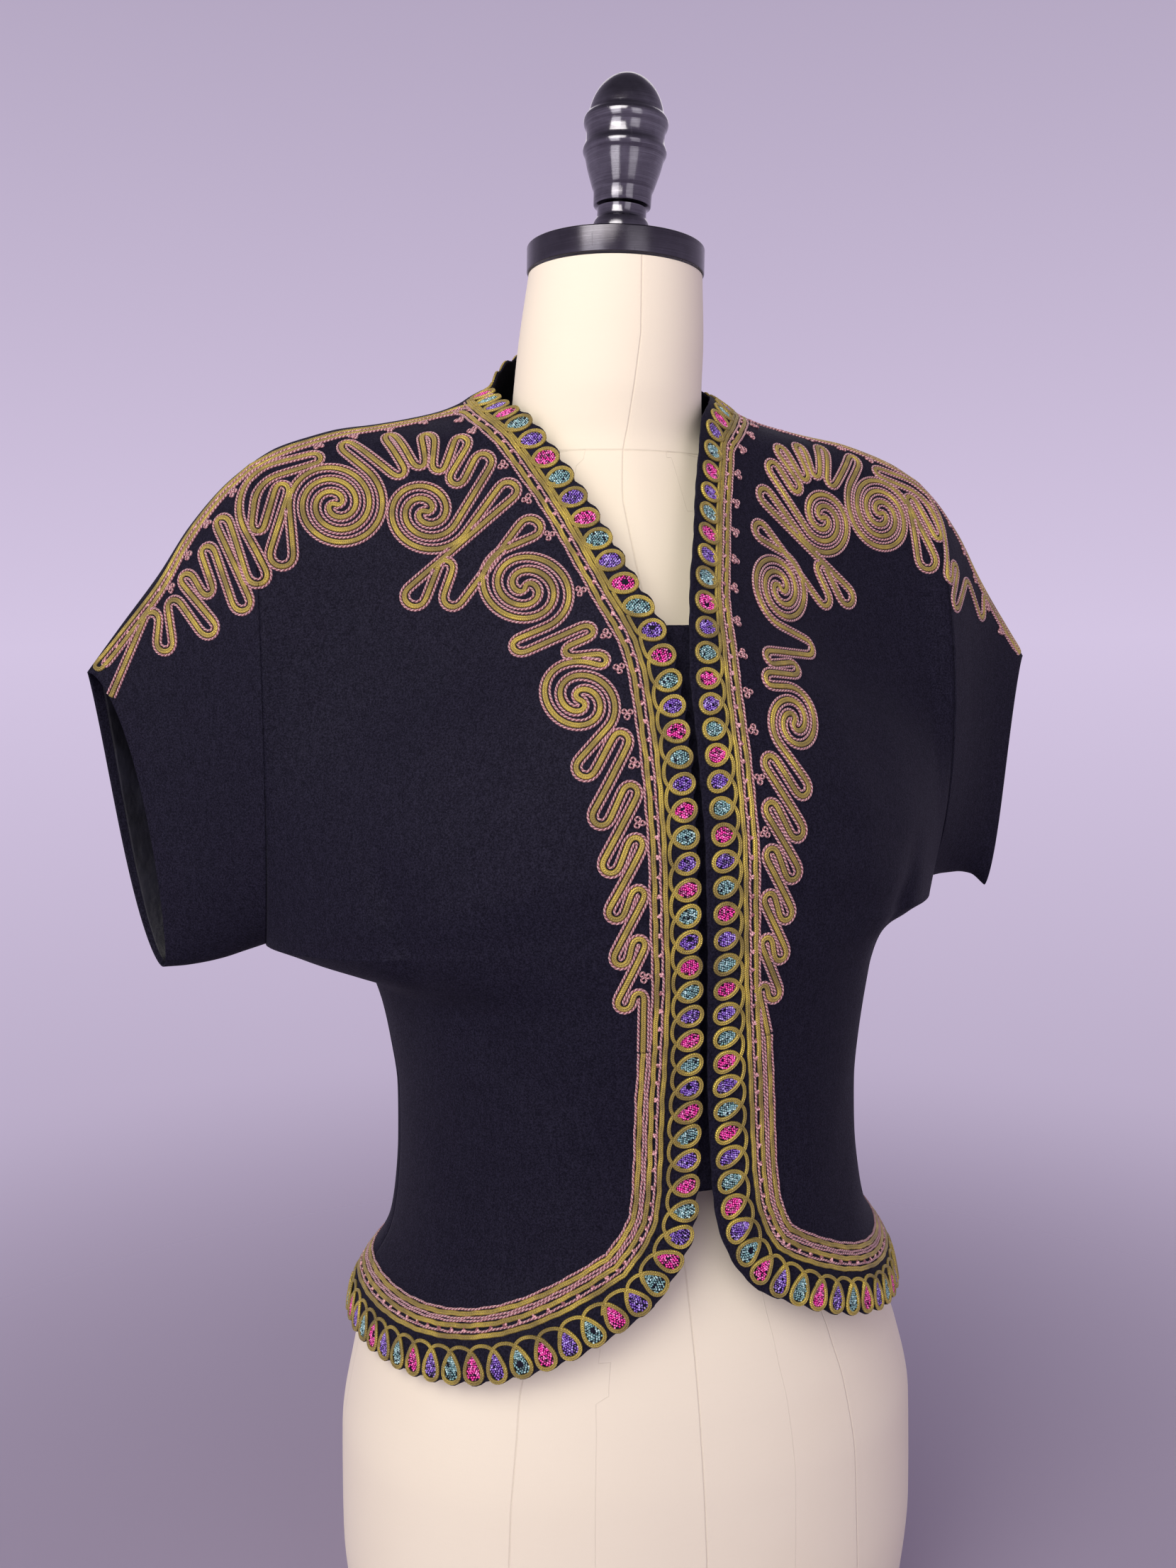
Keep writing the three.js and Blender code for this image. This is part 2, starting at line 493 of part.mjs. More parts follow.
// ---------- dress form ----------
function formNode() {
  const rings = FORM.map((section, i) => {
    const ring = [];
    const lean = i === FORM.length - 1 ? Math.tan(THREE.MathUtils.degToRad(CAP_LEAN)) : 0;
    for (let k = 0; k < FORM_SIDES; k += 1) {
      const angle = (2 * Math.PI * k) / FORM_SIDES;
      const c = Math.cos(angle);
      const s = Math.sin(angle);
      const x = section.mid + section.half * Math.sign(c) * Math.abs(c) ** (2 / section.power);
      const y = (s < 0 ? section.front : section.back) * Math.sign(s) * Math.abs(s) ** (2 / section.power);
      ring.push(new THREE.Vector3(x, y, section.z - lean * x));
    }
    return ring;
  });
  const positions = [];
  const triangle = (a, b, c) => [a, b, c].forEach((p) => positions.push(p.x, p.y, p.z));
  const cap = (ring, up) => {
    const centre = ring.reduce((sum, p) => sum.add(p), new THREE.Vector3()).multiplyScalar(1 / ring.length);
    ring.forEach((p, k) => {
      const next = ring[(k + 1) % ring.length];
      if (up) triangle(centre, p, next);
      else triangle(centre, next, p);
    });
  };
  for (let i = 0; i < rings.length - 1; i += 1) {
    for (let k = 0; k < FORM_SIDES; k += 1) {
      const n = (k + 1) % FORM_SIDES;
      triangle(rings[i][k], rings[i][n], rings[i + 1][n]);
      triangle(rings[i][k], rings[i + 1][n], rings[i + 1][k]);
    }
  }
  cap(rings[0], false);
  cap(rings[rings.length - 1], true);
  const geometry = new THREE.BufferGeometry();
  geometry.setAttribute('position', new THREE.Float32BufferAttribute(positions, 3));
  return node('form_torso', mergeVertices(geometry, 1e-4), IVORY_COTTON);
}

function turned(name, profile) {
  const lathe = new THREE.LatheGeometry(profile.map((p) => new THREE.Vector2(p.r, p.z)), METAL_SIDES);
  lathe.rotateX(Math.PI / 2);
  lathe.deleteAttribute('uv');
  lathe.deleteAttribute('normal');
  return node(name, mergeVertices(lathe, 1e-3), STEEL);
}

function metalGroup() {
  const c = CAP;
  const cap = turned('form_neck_cap', [
    { r: 0, z: 0 }, { r: c.radius - c.edge / 2, z: 0 }, { r: c.radius, z: c.edge / 2 },
    { r: c.radius, z: c.height - c.edge }, { r: c.radius - c.edge, z: c.height }, { r: 0, z: c.height },
  ]);
  const finial = turned('form_finial', [{ r: 0, z: 0 }, ...FINIAL.profile, { r: 0, z: FINIAL.top }]);
  finial.position.set(FINIAL.aside, 0, c.height + FINIAL.lift);
  finial.rotation.y = THREE.MathUtils.degToRad(FINIAL_LEAN - CAP_LEAN);
  const group = new THREE.Group();
  group.add(cap, finial);
  group.position.z = c.z;
  group.rotation.y = THREE.MathUtils.degToRad(CAP_LEAN);
  return group;
}

// ---------- the whole object ----------
const jacketOnForm = new THREE.Group();
jacketOnForm.position.y = Y_CENTRE;
jacketOnForm.add(
  panelNode('front_right', trimmed(frontGrid(-1), { last: true, top: true }), -1, [PANEL_COLUMNS], () => true),
  panelNode('front_left', trimmed(frontGrid(1), { last: true, top: true }), 1, [PANEL_COLUMNS], () => true),
  panelNode('back', trimmed(backGrid(), { first: true, last: true, top: true }), -1, [0, 2 * HALF_BACK],
    (j) => Math.abs(j - HALF_BACK) >= NECK_COLUMNS),
  sleeveNode('sleeve_right', -1),
  sleeveNode('sleeve_left', 1),
  sleeveLiningNode('sleeve_lining_right', -1),
  sleeveLiningNode('sleeve_lining_left', 1),
  underlapNode(),
  formNode(),
  metalGroup(),
);

export default jacketOnForm;
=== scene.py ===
import math
import bpy
import numpy as np
from mathutils import Matrix, Vector
from mathutils.bvhtree import BVHTree


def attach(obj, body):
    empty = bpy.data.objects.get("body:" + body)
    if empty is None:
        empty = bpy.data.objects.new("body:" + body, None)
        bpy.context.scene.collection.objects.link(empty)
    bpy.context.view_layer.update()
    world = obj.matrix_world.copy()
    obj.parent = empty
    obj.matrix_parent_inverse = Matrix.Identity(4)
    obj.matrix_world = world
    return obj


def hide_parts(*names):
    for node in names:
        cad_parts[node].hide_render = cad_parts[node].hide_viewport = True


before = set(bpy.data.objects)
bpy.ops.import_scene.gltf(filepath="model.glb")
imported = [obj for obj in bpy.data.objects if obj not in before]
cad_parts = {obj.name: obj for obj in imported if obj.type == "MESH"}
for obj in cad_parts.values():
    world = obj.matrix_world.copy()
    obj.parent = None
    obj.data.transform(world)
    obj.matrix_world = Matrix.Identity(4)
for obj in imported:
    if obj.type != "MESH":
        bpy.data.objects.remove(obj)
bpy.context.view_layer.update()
scene = bpy.context.scene
mm = 0.001
print("frame loaded")

# camera, light and floor
shot = {
    "place": (-0.23143, -0.738725, 0.62),
    "yaw": -15.8, "pitch": -5.8, "roll": -0.6,      # degrees
    "lens": 32.0, "sensor": 36.0,
}
light = {
    "low": (0.34, 0.28, 0.40), "level": (0.66, 0.565, 0.765), "raised": (0.46, 0.39, 0.54), "high": (0.16, 0.14, 0.19),
    "floorColour": (0.40, 0.35, 0.45), "floorRadius": 1.4,
    "key": {"at": (-1.05, -1.30, 1.85), "size": (1.5, 1.1), "power": 9.4, "tint": (1.0, 0.97, 0.88)},
    "window": {"at": (-1.15, -1.15, 0.95), "size": (0.75, 1.5), "power": 3.2, "tint": (1.0, 0.98, 0.95)},
    "fill": {"at": (0.30, -1.60, 0.95), "size": (0.75, 1.4), "power": 1.3, "tint": (1.0, 0.98, 0.95)},
    "back": {"at": (0.7, 1.9, 2.2), "size": (1.6, 1.2), "power": 1.5, "tint": (1.0, 0.98, 0.90)},
    "aim": (0.0, 0.0, 0.72), "spread": 100.0,
}


def turnOf(yaw, pitch, roll):
    a, e, r = (math.radians(v) for v in (yaw, pitch, roll))
    forward = Vector((-math.sin(a) * math.cos(e), math.cos(a) * math.cos(e), math.sin(e)))
    right = Vector((math.cos(a), math.sin(a), 0.0))
    up = right.cross(forward)
    across = right * math.cos(r) + up * math.sin(r)
    over = -right * math.sin(r) + up * math.cos(r)
    return Matrix((across, over, -forward)).transposed()


def addCamera():
    data = bpy.data.cameras.new("camera")
    data.sensor_fit = 'VERTICAL'
    data.sensor_height = shot["sensor"]
    data.lens = shot["lens"]
    data.clip_start, data.clip_end = 0.02, 60.0
    camera = bpy.data.objects.new("camera", data)
    scene.collection.objects.link(camera)
    turn = turnOf(shot["yaw"], shot["pitch"], shot["roll"]).to_4x4()
    camera.matrix_world = Matrix.Translation(shot["place"]) @ turn
    scene.camera = camera


def addSoftLight(name):
    values = light[name]
    data = bpy.data.lights.new(name, 'AREA')
    data.shape = 'RECTANGLE'
    data.size, data.size_y = values["size"]
    data.energy = values["power"]
    data.color = values["tint"]
    data.spread = math.radians(light["spread"])
    lamp = bpy.data.objects.new(name, data)
    scene.collection.objects.link(lamp)
    lamp.location = values["at"]
    aim = Vector(light["aim"]) - Vector(values["at"])
    lamp.rotation_euler = aim.to_track_quat('-Z', 'Y').to_euler()


addCamera()
for lampName in ("key", "window", "fill", "back"):
    addSoftLight(lampName)
scene.view_settings.view_transform = 'Standard'
print("camera and lights placed")


# shader maths: a socket with the usual operators
class Term:
    def __init__(self, paint, socket):
        self.paint, self.socket = paint, socket

    def maths(self, operation, *values):
        return self.paint.node('ShaderNodeMath', {"operation": operation}, dict(enumerate(values)))

    def __add__(self, other): return self.maths('ADD', self, other)
    def __radd__(self, other): return self.maths('ADD', other, self)
    def __sub__(self, other): return self.maths('SUBTRACT', self, other)
    def __rsub__(self, other): return self.maths('SUBTRACT', other, self)
    def __mul__(self, other): return self.maths('MULTIPLY', self, other)
    def __rmul__(self, other): return self.maths('MULTIPLY', other, self)
    def __abs__(self): return self.maths('ABSOLUTE', self)
    def sine(self): return self.maths('SINE', self)
    def most(self, other): return self.maths('MAXIMUM', self, other)


class Paint:
    def __init__(self, name, fixed, owners=None, shader="Principled BSDF"):
        owners = bpy.data.materials if owners is None else owners
        self.material = owners.new(name)
        self.material.use_nodes = True
        self.tree = self.material.node_tree
        self.shader = self.tree.nodes[shader]
        for socketName, value in fixed.items():
            self.shader.inputs[socketName].default_value = value

    def node(self, kind, settings=None, sockets=None, output=0):
        node = self.tree.nodes.new(kind)
        for key, value in (settings or {}).items():
            if key != "stops":
                setattr(node, key, value)
                continue
            ramp = node.color_ramp
            while len(ramp.elements) < len(value):
                ramp.elements.new(0.5)
            for element, (place, colour) in zip(ramp.elements, value):
                element.position, element.color = place, (*colour, 1.0)
        for key, value in (sockets or {}).items():
            if isinstance(value, Term):
                self.tree.links.new(value.socket, node.inputs[key])
            else:
                node.inputs[key].default_value = value
        return Term(self, node.outputs[output])

    def place(self):
        return self.node('ShaderNodeTexCoord', output="Object")

    def uv(self, name):
        return self.node('ShaderNodeUVMap', {"uv_map": name})

    def parts(self, vector):
        split = self.node('ShaderNodeSeparateXYZ', None, {0: vector})
        return [Term(self, output) for output in split.socket.node.outputs]

    def noise(self, vector, scale, detail=2.0, roughness=0.5):
        values = {"Vector": vector, "Scale": scale, "Detail": detail, "Roughness": roughness}
        return self.node('ShaderNodeTexNoise', None, values)

    def stretched(self, vector, scale):
        return self.node('ShaderNodeMapping', None, {"Vector": vector, "Scale": scale})

    def step(self, value, low, high):                   # 0 below low, 1 above high, soft between
        sockets = {"Value": value, "From Min": low, "From Max": high}
        return self.node('ShaderNodeMapRange', {"interpolation_type": 'SMOOTHSTEP'}, sockets)

    def blend(self, share, first, second):
        colours = [c if isinstance(c, Term) else (*c, 1.0) for c in (first, second)]
        sockets = {0: share, 6: colours[0], 7: colours[1]}
        return self.node('ShaderNodeMix', {"data_type": 'RGBA'}, sockets, output=2)

    def bump(self, height, distance, strength=1.0):
        sockets = {"Height": height, "Distance": distance, "Strength": strength}
        self.join("Normal", self.node('ShaderNodeBump', None, sockets))

    def join(self, socketName, value):
        self.tree.links.new(value.socket, self.shader.inputs[socketName])


def makeSurroundings():
    sky = Paint("surroundings", {"Strength": 1.0}, bpy.data.worlds, "Background")
    height = sky.parts(sky.node('ShaderNodeTexCoord', output="Generated"))[2]
    stops = [(0.2, light["low"]), (0.5, light["level"]), (0.7, light["raised"]), (0.95, light["high"])]
    ramp = sky.node('ShaderNodeValToRGB', {"stops": stops}, {0: 0.5 + 0.5 * height})
    sky.join("Color", ramp)
    scene.world = sky.material


makeSurroundings()


# meshes from arrays of points
def meshObject(name, points, faces, paints, smooth=True, paintIndex=None):
    data = bpy.data.meshes.new(name)
    data.from_pydata([tuple(p) for p in points.tolist()], [], [tuple(f) for f in faces])
    for paint in paints:
        data.materials.append(paint.material)
    if paintIndex is not None:
        data.polygons.foreach_set("material_index", np.asarray(paintIndex, np.int32))
    data.polygons.foreach_set("use_smooth", np.full(len(data.polygons), smooth))
    data.update()
    made = bpy.data.objects.new(name, data)
    scene.collection.objects.link(made)
    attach(made, "root")
    return made


def unit(v):
    return v / np.maximum(np.linalg.norm(v, axis=-1, keepdims=True), 1e-12)


def gridNormals(grid, ring, sign):
    ahead = np.roll(grid, -1, 1) if ring else np.concatenate([grid[:, 1:], grid[:, -1:]], 1)
    behind = np.roll(grid, 1, 1) if ring else np.concatenate([grid[:, :1], grid[:, :-1]], 1)
    above = np.concatenate([grid[1:], grid[-1:]])
    below = np.concatenate([grid[:1], grid[:-1]])
    return unit(np.cross(ahead - behind, above - below)) * sign


def gridQuads(rows, columns, ring, start=0, flip=False):
    i, j = np.meshgrid(np.arange(rows - 1), np.arange(columns if ring else columns - 1), indexing='ij')
    k = (j + 1) % columns
    quads = np.stack([i * columns + j, i * columns + k, (i + 1) * columns + k, (i + 1) * columns + j], -1)
    quads = quads.reshape(-1, 4) + start
    return quads[:, ::-1] if flip else quads


def shell(name, outer, normals, wall, ring, sign, paints):
    rows, columns = outer.shape[:2]
    inner = outer - normals * wall
    count = rows * columns
    front = gridQuads(rows, columns, ring, 0, sign < 0)
    back = gridQuads(rows, columns, ring, count, sign > 0)
    last = columns if ring else columns - 1
    j = np.arange(last)
    k = (j + 1) % columns
    low = np.stack([count + j, count + k, k, j], -1)
    top = (rows - 1) * columns
    high = np.stack([top + j, top + k, count + top + k, count + top + j], -1)
    rims = [low, high]
    if not ring:
        i = np.arange(rows - 1) * columns
        rims.append(np.stack([count + i, i, i + columns, count + i + columns], -1))
        e = i + columns - 1
        rims.append(np.stack([e, count + e, count + e + columns, e + columns], -1))
    rim = np.concatenate(rims)
    if sign < 0:
        rim = rim[:, ::-1]
    faces = np.concatenate([front, back, rim])
    index = np.concatenate([np.zeros(len(front)), np.ones(len(back)), np.zeros(len(rim))])
    points = np.concatenate([outer.reshape(-1, 3), inner.reshape(-1, 3)])
    if len(paints) == 1:
        index = index * 0
    return meshObject(name, points, faces.tolist(), paints, True, index)


# the cut of the jacket, in millimetres
frontEdge = [    # height; distance from the middle and depth, right, then left
    (295, 24, -130, 31, -130), (306, 14.6, -129.5, 21, -129.5), (318, 6.5, -128.5, 14.5, -128.5),
    (332, 0.8, -127, 10, -127), (350, -1.5, -125.5, 8, -125.5), (370, -2.3, -124.8, 7, -124.8),
    (400, -2.4, -127.5, 4.6, -127.5), (440, -0.9, -133, 2.6, -133), (480, 1.5, -138, 0.8, -138),
    (520, 2.8, -139, -0.5, -139), (560, 3.6, -134, -1.6, -134), (600, 4.8, -121.5, -1.4, -121.5),
    (620, 7.8, -114.5, 0.5, -115), (635, 12.5, -107.5, 3, -108.5), (650, 19.8, -100, 6, -101.5),
    (670, 27.5, -87, 12.4, -89.5), (700, 38.5, -64.5, 22, -68), (720, 48, -49.5, 28.5, -55),
    (738, 56.5, -32, 34.5, -43), (748, 61.8, -10, 44, -27), (756, 64, 10, 53.5, -5),
    (763, 64, 28, 64, 28),
]
sideSeam = [    # row; right x, z; left x, z; y; level on the front edge and on the centre back
    (0, 160, 246, 160, 255, 8, 295, 249), (1, 157.5, 258.5, 158.5, 265, 8, 303, 260),
    (2, 151.2, 270.5, 154, 276, 8, 312, 271), (3, 142, 282, 147, 286.5, 8, 321, 282),
    (4, 135, 295, 141, 298, 9, 331, 295), (5, 131.5, 313, 137.5, 315, 9, 345, 312),
    (6, 129, 342, 135, 343, 10, 370, 342), (7, 128.5, 372, 134.5, 373, 10, 395, 372),
    (8, 131.5, 400, 137.5, 404, 11, 415, 400), (9, 136.2, 424.5, 143, 434, 12, 433, 425),
    (10, 141, 436.5, 149, 449, 13, 442, 438), (11, 150, 442, 157, 459, 15, 450, 446),
    (12, 163, 446, 167, 464.5, 17, 458, 454), (13, 177, 450.5, 178.5, 467.5, 19, 466, 463),
    (14, 189, 455, 189, 469.5, 21, 474, 472), (15, 198, 458, 198, 470, 22, 482, 482),
]
centreBack = [    # height, depth
    (249, 107), (271, 104), (300, 97), (340, 88), (372, 84), (410, 87), (450, 94),
    (500, 102), (560, 109), (610, 112), (660, 107), (700, 97), (740, 82), (770, 70),
    (790, 64),
]
frontTurn = [    # level, flatness of the middle, roundness of the end
    (295, 2.4, 0.5), (433, 2.2, 0.5), (482, 1.9, 0.62), (530, 2.3, 0.85),
    (570, 2.4, 1), (610, 1.9, 1.1), (645, 1.25, 1.45), (690, 1.05, 1.8),
    (730, 1, 1.5), (763, 1, 1.2),
]
backTurn = [    # the same behind
    (249, 2.4, 0.5), (425, 2.2, 0.5), (482, 1.9, 0.6), (540, 2.1, 0.85),
    (620, 2.1, 1), (700, 1.6, 1.1), (790, 1, 1.2),
]
shoulderSeam = [    # x, y, z from the neck point to the armhole
    (64, 28, 763), (68, 30, 761.5), (75, 32, 758), (82, 33, 753.5),
    (94, 34, 748.8), (112, 34, 744.5), (130, 34, 741), (148, 34, 738),
    (165, 34, 733), (182, 35, 727), (197, 35, 718),
]
backNeck = [    # x, y, z from the middle to the neck point
    (0, 64, 790), (20, 62, 789.5), (35, 56.5, 788), (48, 47, 783), (58, 38, 773.5), (64, 28, 763),
]
# share of the length; top x, z; bottom x, z; top y, bottom y; front and back swell; back and front bow
sleeveRight = [
    (0, 197, 718, 198, 458, 35, 22, 55, 57, 0, 0), (0.18, 211, 706, 208, 454.5, 36, 24, 47, 49, 1, 0),
    (0.4, 230, 684, 220, 450.5, 38, 26, 37, 39, 2, 0), (0.6, 246.5, 659, 231, 448, 39, 28, 29, 31, 2.8, -1),
    (0.8, 266, 633, 242, 446.5, 40, 30, 23, 24, 3.8, -4.5), (1, 285, 607, 252.5, 446, 40, 32, 18, 18, 5, -12),
]
sleeveLeft = [
    (0, 197, 718, 198, 470, 35, 22, 55, 57, 0, 0), (0.18, 211, 707.5, 208, 471.5, 36, 24, 46, 46, -0.5, -0.5),
    (0.4, 230, 687.5, 220, 472.5, 38, 26, 35, 34, -1, -1), (0.6, 246.5, 663, 231, 472.5, 39, 28, 27, 24, -2, -2),
    (0.8, 266, 636.5, 243, 470.5, 40, 30, 20, 16, -3.5, -4.5), (1, 285.35, 608.5, 255, 462, 40, 32, 15, 11, -5, -8),
]
formRings = [    # height, middle, half width, front and back depth, squareness
    (0, 3, 150, 104, 100, 2.2), (6, 3, 155, 108, 104, 2.2), (60, 3, 163, 116, 110, 2.2),
    (120, 3, 169, 121, 112, 2.2), (180, 3, 168, 121, 110, 2.2), (222, 2, 160, 119, 103, 2.2),
    (250, 0, 150, 116, 97, 2.2), (280, 0, 133, 110, 90, 2.2), (312, 0, 122, 102, 80, 2.2),
    (350, 0, 117, 98, 75, 2.2), (400, 0, 121, 104, 78, 2.1), (450, -1, 128, 114, 86, 2.1),
    (510, -3, 138, 121, 95, 2), (560, -4, 140, 118, 101, 1.9), (600, -6, 134, 105, 103, 1.8),
    (640, -6, 120, 84, 100, 1.6), (680, -6, 102, 63, 90, 1.6), (708, -6, 80, 50, 76, 1.7),
    (730, -6, 57, 45, 64, 1.9), (742, -5.5, 53, 46, 57, 2), (755, -5, 52, 47.5, 53, 2),
    (780, -3, 51, 48, 51, 2), (818.3, 0, 47.5, 47.5, 47.5, 2),
]


def along(table, column, at):      # monotone cubic through one column of a table
    rows = np.array(table, float)
    x, y = rows[:, 0], rows[:, column]
    rise = np.diff(y) / np.diff(x)
    before, after = rise[:-1], rise[1:]
    level = before * after <= 0
    total = np.where(level, 1.0, before + after)
    slope = np.concatenate([rise[:1], np.where(level, 0.0, 2 * before * after / total), rise[-1:]])
    at = np.clip(at, x[0], x[-1])
    i = np.clip(np.searchsorted(x, at) - 1, 0, len(x) - 2)
    h = x[i + 1] - x[i]
    t = (at - x[i]) / h
    start = y[i] * (1 + 2 * t) * (1 - t) ** 2 + slope[i] * h * t * (1 - t) ** 2
    return start + y[i + 1] * t * t * (3 - 2 * t) - slope[i + 1] * h * t * t * (1 - t)


def mix(a, b, t):
    return a + (b - a) * t


jacket = {
    "wall": 1.0, "liningWall": 0.6, "seamRow": 15, "lastRow": 27,
    "frontTop": 763, "backTop": 790, "neckX": 64, "shoulderX": 197,
    "hemSag": 0.85, "depthOffset": 13.475,
    "seamDip": 0.6, "seamWidth": 2.6,
}
folds = [      # side, trough from x, z to x, z, width, depth
    (-1, 150, 520, 128, 452, 9, 7.0), (-1, 118, 445, 70, 395, 13, 3.5), (-1, 126, 372, 104, 352, 8, 3.0),
    (1, 178, 690, 184, 520, 7, 5.0), (1, 146, 505, 122, 448, 10, 6.0),
    # and the slight ones
    (-1, 96, 640, 112, 500, 16, 1.6), (-1, 60, 560, 84, 430, 15, 1.4), (-1, 62, 430, 50, 330, 13, -1.2),
    (-1, 96, 380, 84, 290, 14, 1.5), (-1, 150, 640, 158, 540, 14, 1.8), (1, 100, 640, 118, 520, 16, 1.5),
    (1, 70, 600, 92, 440, 15, 1.2), (1, 108, 400, 88, 300, 13, 1.4), (1, 66, 400, 62, 320, 12, -1.0),
]


def sleeveTable(side):
    return sleeveRight if side < 0 else sleeveLeft


def armholePoint(angle, side, face):
    s = sleeveTable(side)[0]
    t = (1 - np.cos(angle)) / 2
    swell = s[7] if face < 0 else s[8]
    return mix(s[1], s[3], t), mix(s[5], s[6], t) + face * swell * np.sin(angle), mix(s[2], s[4], t)


def outerPoint(row, side, face):
    seam = jacket["seamRow"]
    first = 1 if side < 0 else 3
    low = [along(sideSeam, column, row) for column in (first, 5, first + 1)]
    angle = np.pi * (1 - (np.maximum(row, seam) - seam) / (jacket["lastRow"] - seam))
    high = armholePoint(angle, side, face)
    return [np.where(row <= seam, a, b) for a, b in zip(low, high)]


def levelOf(row, face):
    column, top = (6, jacket["frontTop"]) if face < 0 else (7, jacket["backTop"])
    seam = jacket["seamRow"]
    share = np.clip((row - seam) / (jacket["lastRow"] - seam), 0, 1)
    above = mix(sideSeam[-1][column], top, (share + np.sin(share * np.pi / 2)) / 2)
    return np.where(row <= seam, along(sideSeam, column, row), above)


def middleOf(level, side, face):
    if face > 0:
        return 0 * level, along(centreBack, 1, level)
    column = 1 if side < 0 else 3
    return along(frontEdge, column, level), along(frontEdge, column + 1, level)


def foldDepth(x, z, side):
    depth = 0 * x
    for foldSide, x0, z0, x1, z1, width, deep in folds:
        if foldSide != side:
            continue
        dx, dz = x1 - x0, z1 - z0
        t = np.clip(((x - x0) * dx + (z - z0) * dz) / (dx * dx + dz * dz), 0, 1)
        away = np.hypot(x - x0 - dx * t, z - z0 - dz * t) / width
        depth = depth + deep * np.exp(-away * away) * np.sin(np.pi * mix(0.15, 0.85, t))
    return depth


def panelPoint(u, row, side, face):      # u is 0 on the middle edge and 1 on the seam
    u, row = np.broadcast_arrays(np.asarray(u, float), np.asarray(row, float))
    turn = frontTurn if face < 0 else backTurn
    top = float(jacket["frontTop"] if face < 0 else jacket["backTop"])
    level = levelOf(row, face)
    innerX, innerY = middleOf(level, side, face)
    outerX, outerY, outerZ = outerPoint(row, side, face)
    flat, end = along(turn, 1, level), along(turn, 2, level)
    across = mix(u, np.sin(u * np.pi / 2), np.clip(2 * (1 - end), 0, 1))
    x = mix(innerX, outerX, across)
    y = mix(outerY, innerY, np.maximum(1 - across ** flat, 0) ** end)
    z = mix(level, outerZ, across)
    if face < 0:
        sag = jacket["hemSag"] * np.maximum(1 - row / 6, 0) ** 2
        z = z - sag * (level - outerZ) * across * (1 - across)
    share = np.clip((row - jacket["lastRow"] + 8) / 8, 0, 1) ** 2
    topX, topY = middleOf(np.array(top), side, face)
    _, endY, endZ = outerPoint(np.array(float(jacket["lastRow"])), side, face)
    lift = np.maximum(1 - u ** along(turn, 1, top), 0) ** along(turn, 2, top)
    seamX = mix(float(topX), jacket["shoulderX"], u)
    seamY, seamZ = along(shoulderSeam, 1, seamX), along(shoulderSeam, 2, seamX)
    if face > 0:
        onNeck = seamX < jacket["neckX"]
        seamY = np.where(onNeck, along(backNeck, 1, seamX), seamY)
        seamZ = np.where(onNeck, along(backNeck, 2, seamX), seamZ)
    y = y + share * (seamY - mix(float(endY), float(topY), lift))
    z = z + share * (seamZ - mix(top, float(endZ), u))
    if face < 0:
        fade = np.sin(np.pi * np.clip(u, 0, 1))
        y = y + foldDepth(x, z, side) * fade
    return np.stack([side * x, y + jacket["depthOffset"], z], -1) * mm


# the jacket's edge: one half loop a side, from the middle of the back neck round to the back hem
def lengthsAlong(points):      # distance along the first axis, of a line or of a whole grid
    steps = np.linalg.norm(np.diff(points, axis=0), axis=-1)
    return np.concatenate([0 * steps[:1], np.cumsum(steps, axis=0)])


def sampled(at, s, points):
    return np.stack([np.interp(at, s, points[:, k]) for k in range(points.shape[1])], -1)


def halfLoop(side):
    neckShare = jacket["neckX"] / jacket["shoulderX"]
    back = panelPoint(np.linspace(0, neckShare, 90), jacket["lastRow"], side, 1)
    front = panelPoint(0.0, np.linspace(27, 0, 900), side, -1)
    hem = panelPoint(np.linspace(0, 1, 300), 0.0, side, -1)
    behind = panelPoint(np.linspace(1, 0, 300), 0.0, side, 1)
    points = np.concatenate([back, front[1:], hem[1:], behind[1:]])
    s = lengthsAlong(points)
    ends = np.cumsum([len(back) - 1, len(front) - 1, len(hem) - 1])
    return {"points": points, "s": s, "neck": s[ends[0]], "corner": s[ends[1]], "side": s[ends[2]]}


loops = {side: halfLoop(side) for side in (-1, 1)}


def seamDip(grid, edge):      # a shallow valley along a seam; edge -1 or 0 picks the end of the rows
    line = grid[:, ::-1] if edge < 0 else grid
    away = lengthsAlong(line.transpose(1, 0, 2)).T / mm
    dip = jacket["seamDip"] * mm * np.exp(-(away / jacket["seamWidth"]) ** 2)
    return dip[:, ::-1] if edge < 0 else dip


bowSkew = {-1: (-0.35, 0.85), 1: (-0.5, -1.8)}      # how far the front and back bows lean towards the lower fold


def sleeveRing(at, side, sides):
    s = [along(sleeveTable(side), k, np.array(at)) for k in range(11)]
    angle = np.linspace(0, 2 * np.pi, sides, endpoint=False)[None, :]
    column = [value[:, None] for value in s]
    t = (1 - np.cos(angle)) / 2
    swell = np.where(np.sin(angle) > 0, column[7], column[8])
    frontSkew, backSkew = bowSkew[side]
    skew = np.where(np.sin(angle) > 0, frontSkew, backSkew)
    bow = np.where(np.sin(angle) > 0, column[10], column[9]) * (1 + skew * (2 * t - 1))
    x = mix(column[1], column[3], t) + bow * np.abs(np.sin(angle))
    y = mix(column[5], column[6], t) - swell * np.sin(angle)
    return np.stack([side * x, y + jacket["depthOffset"], mix(column[2], column[4], t)], -1) * mm


clothDrift = {"amount": 0.14, "seed": 11, "waves": 7}


def softened(grid, normals):      # slow unevenness of hung cloth
    wave = np.zeros(grid.shape[:2])
    generator = np.random.default_rng(clothDrift["seed"])
    for _ in range(clothDrift["waves"]):
        direction = generator.normal(size=3) * (40, 40, 24)
        wave += np.sin(grid @ direction + generator.uniform(0, 6.3))
    return grid + normals * (clothDrift["amount"] * mm * wave)[..., None]


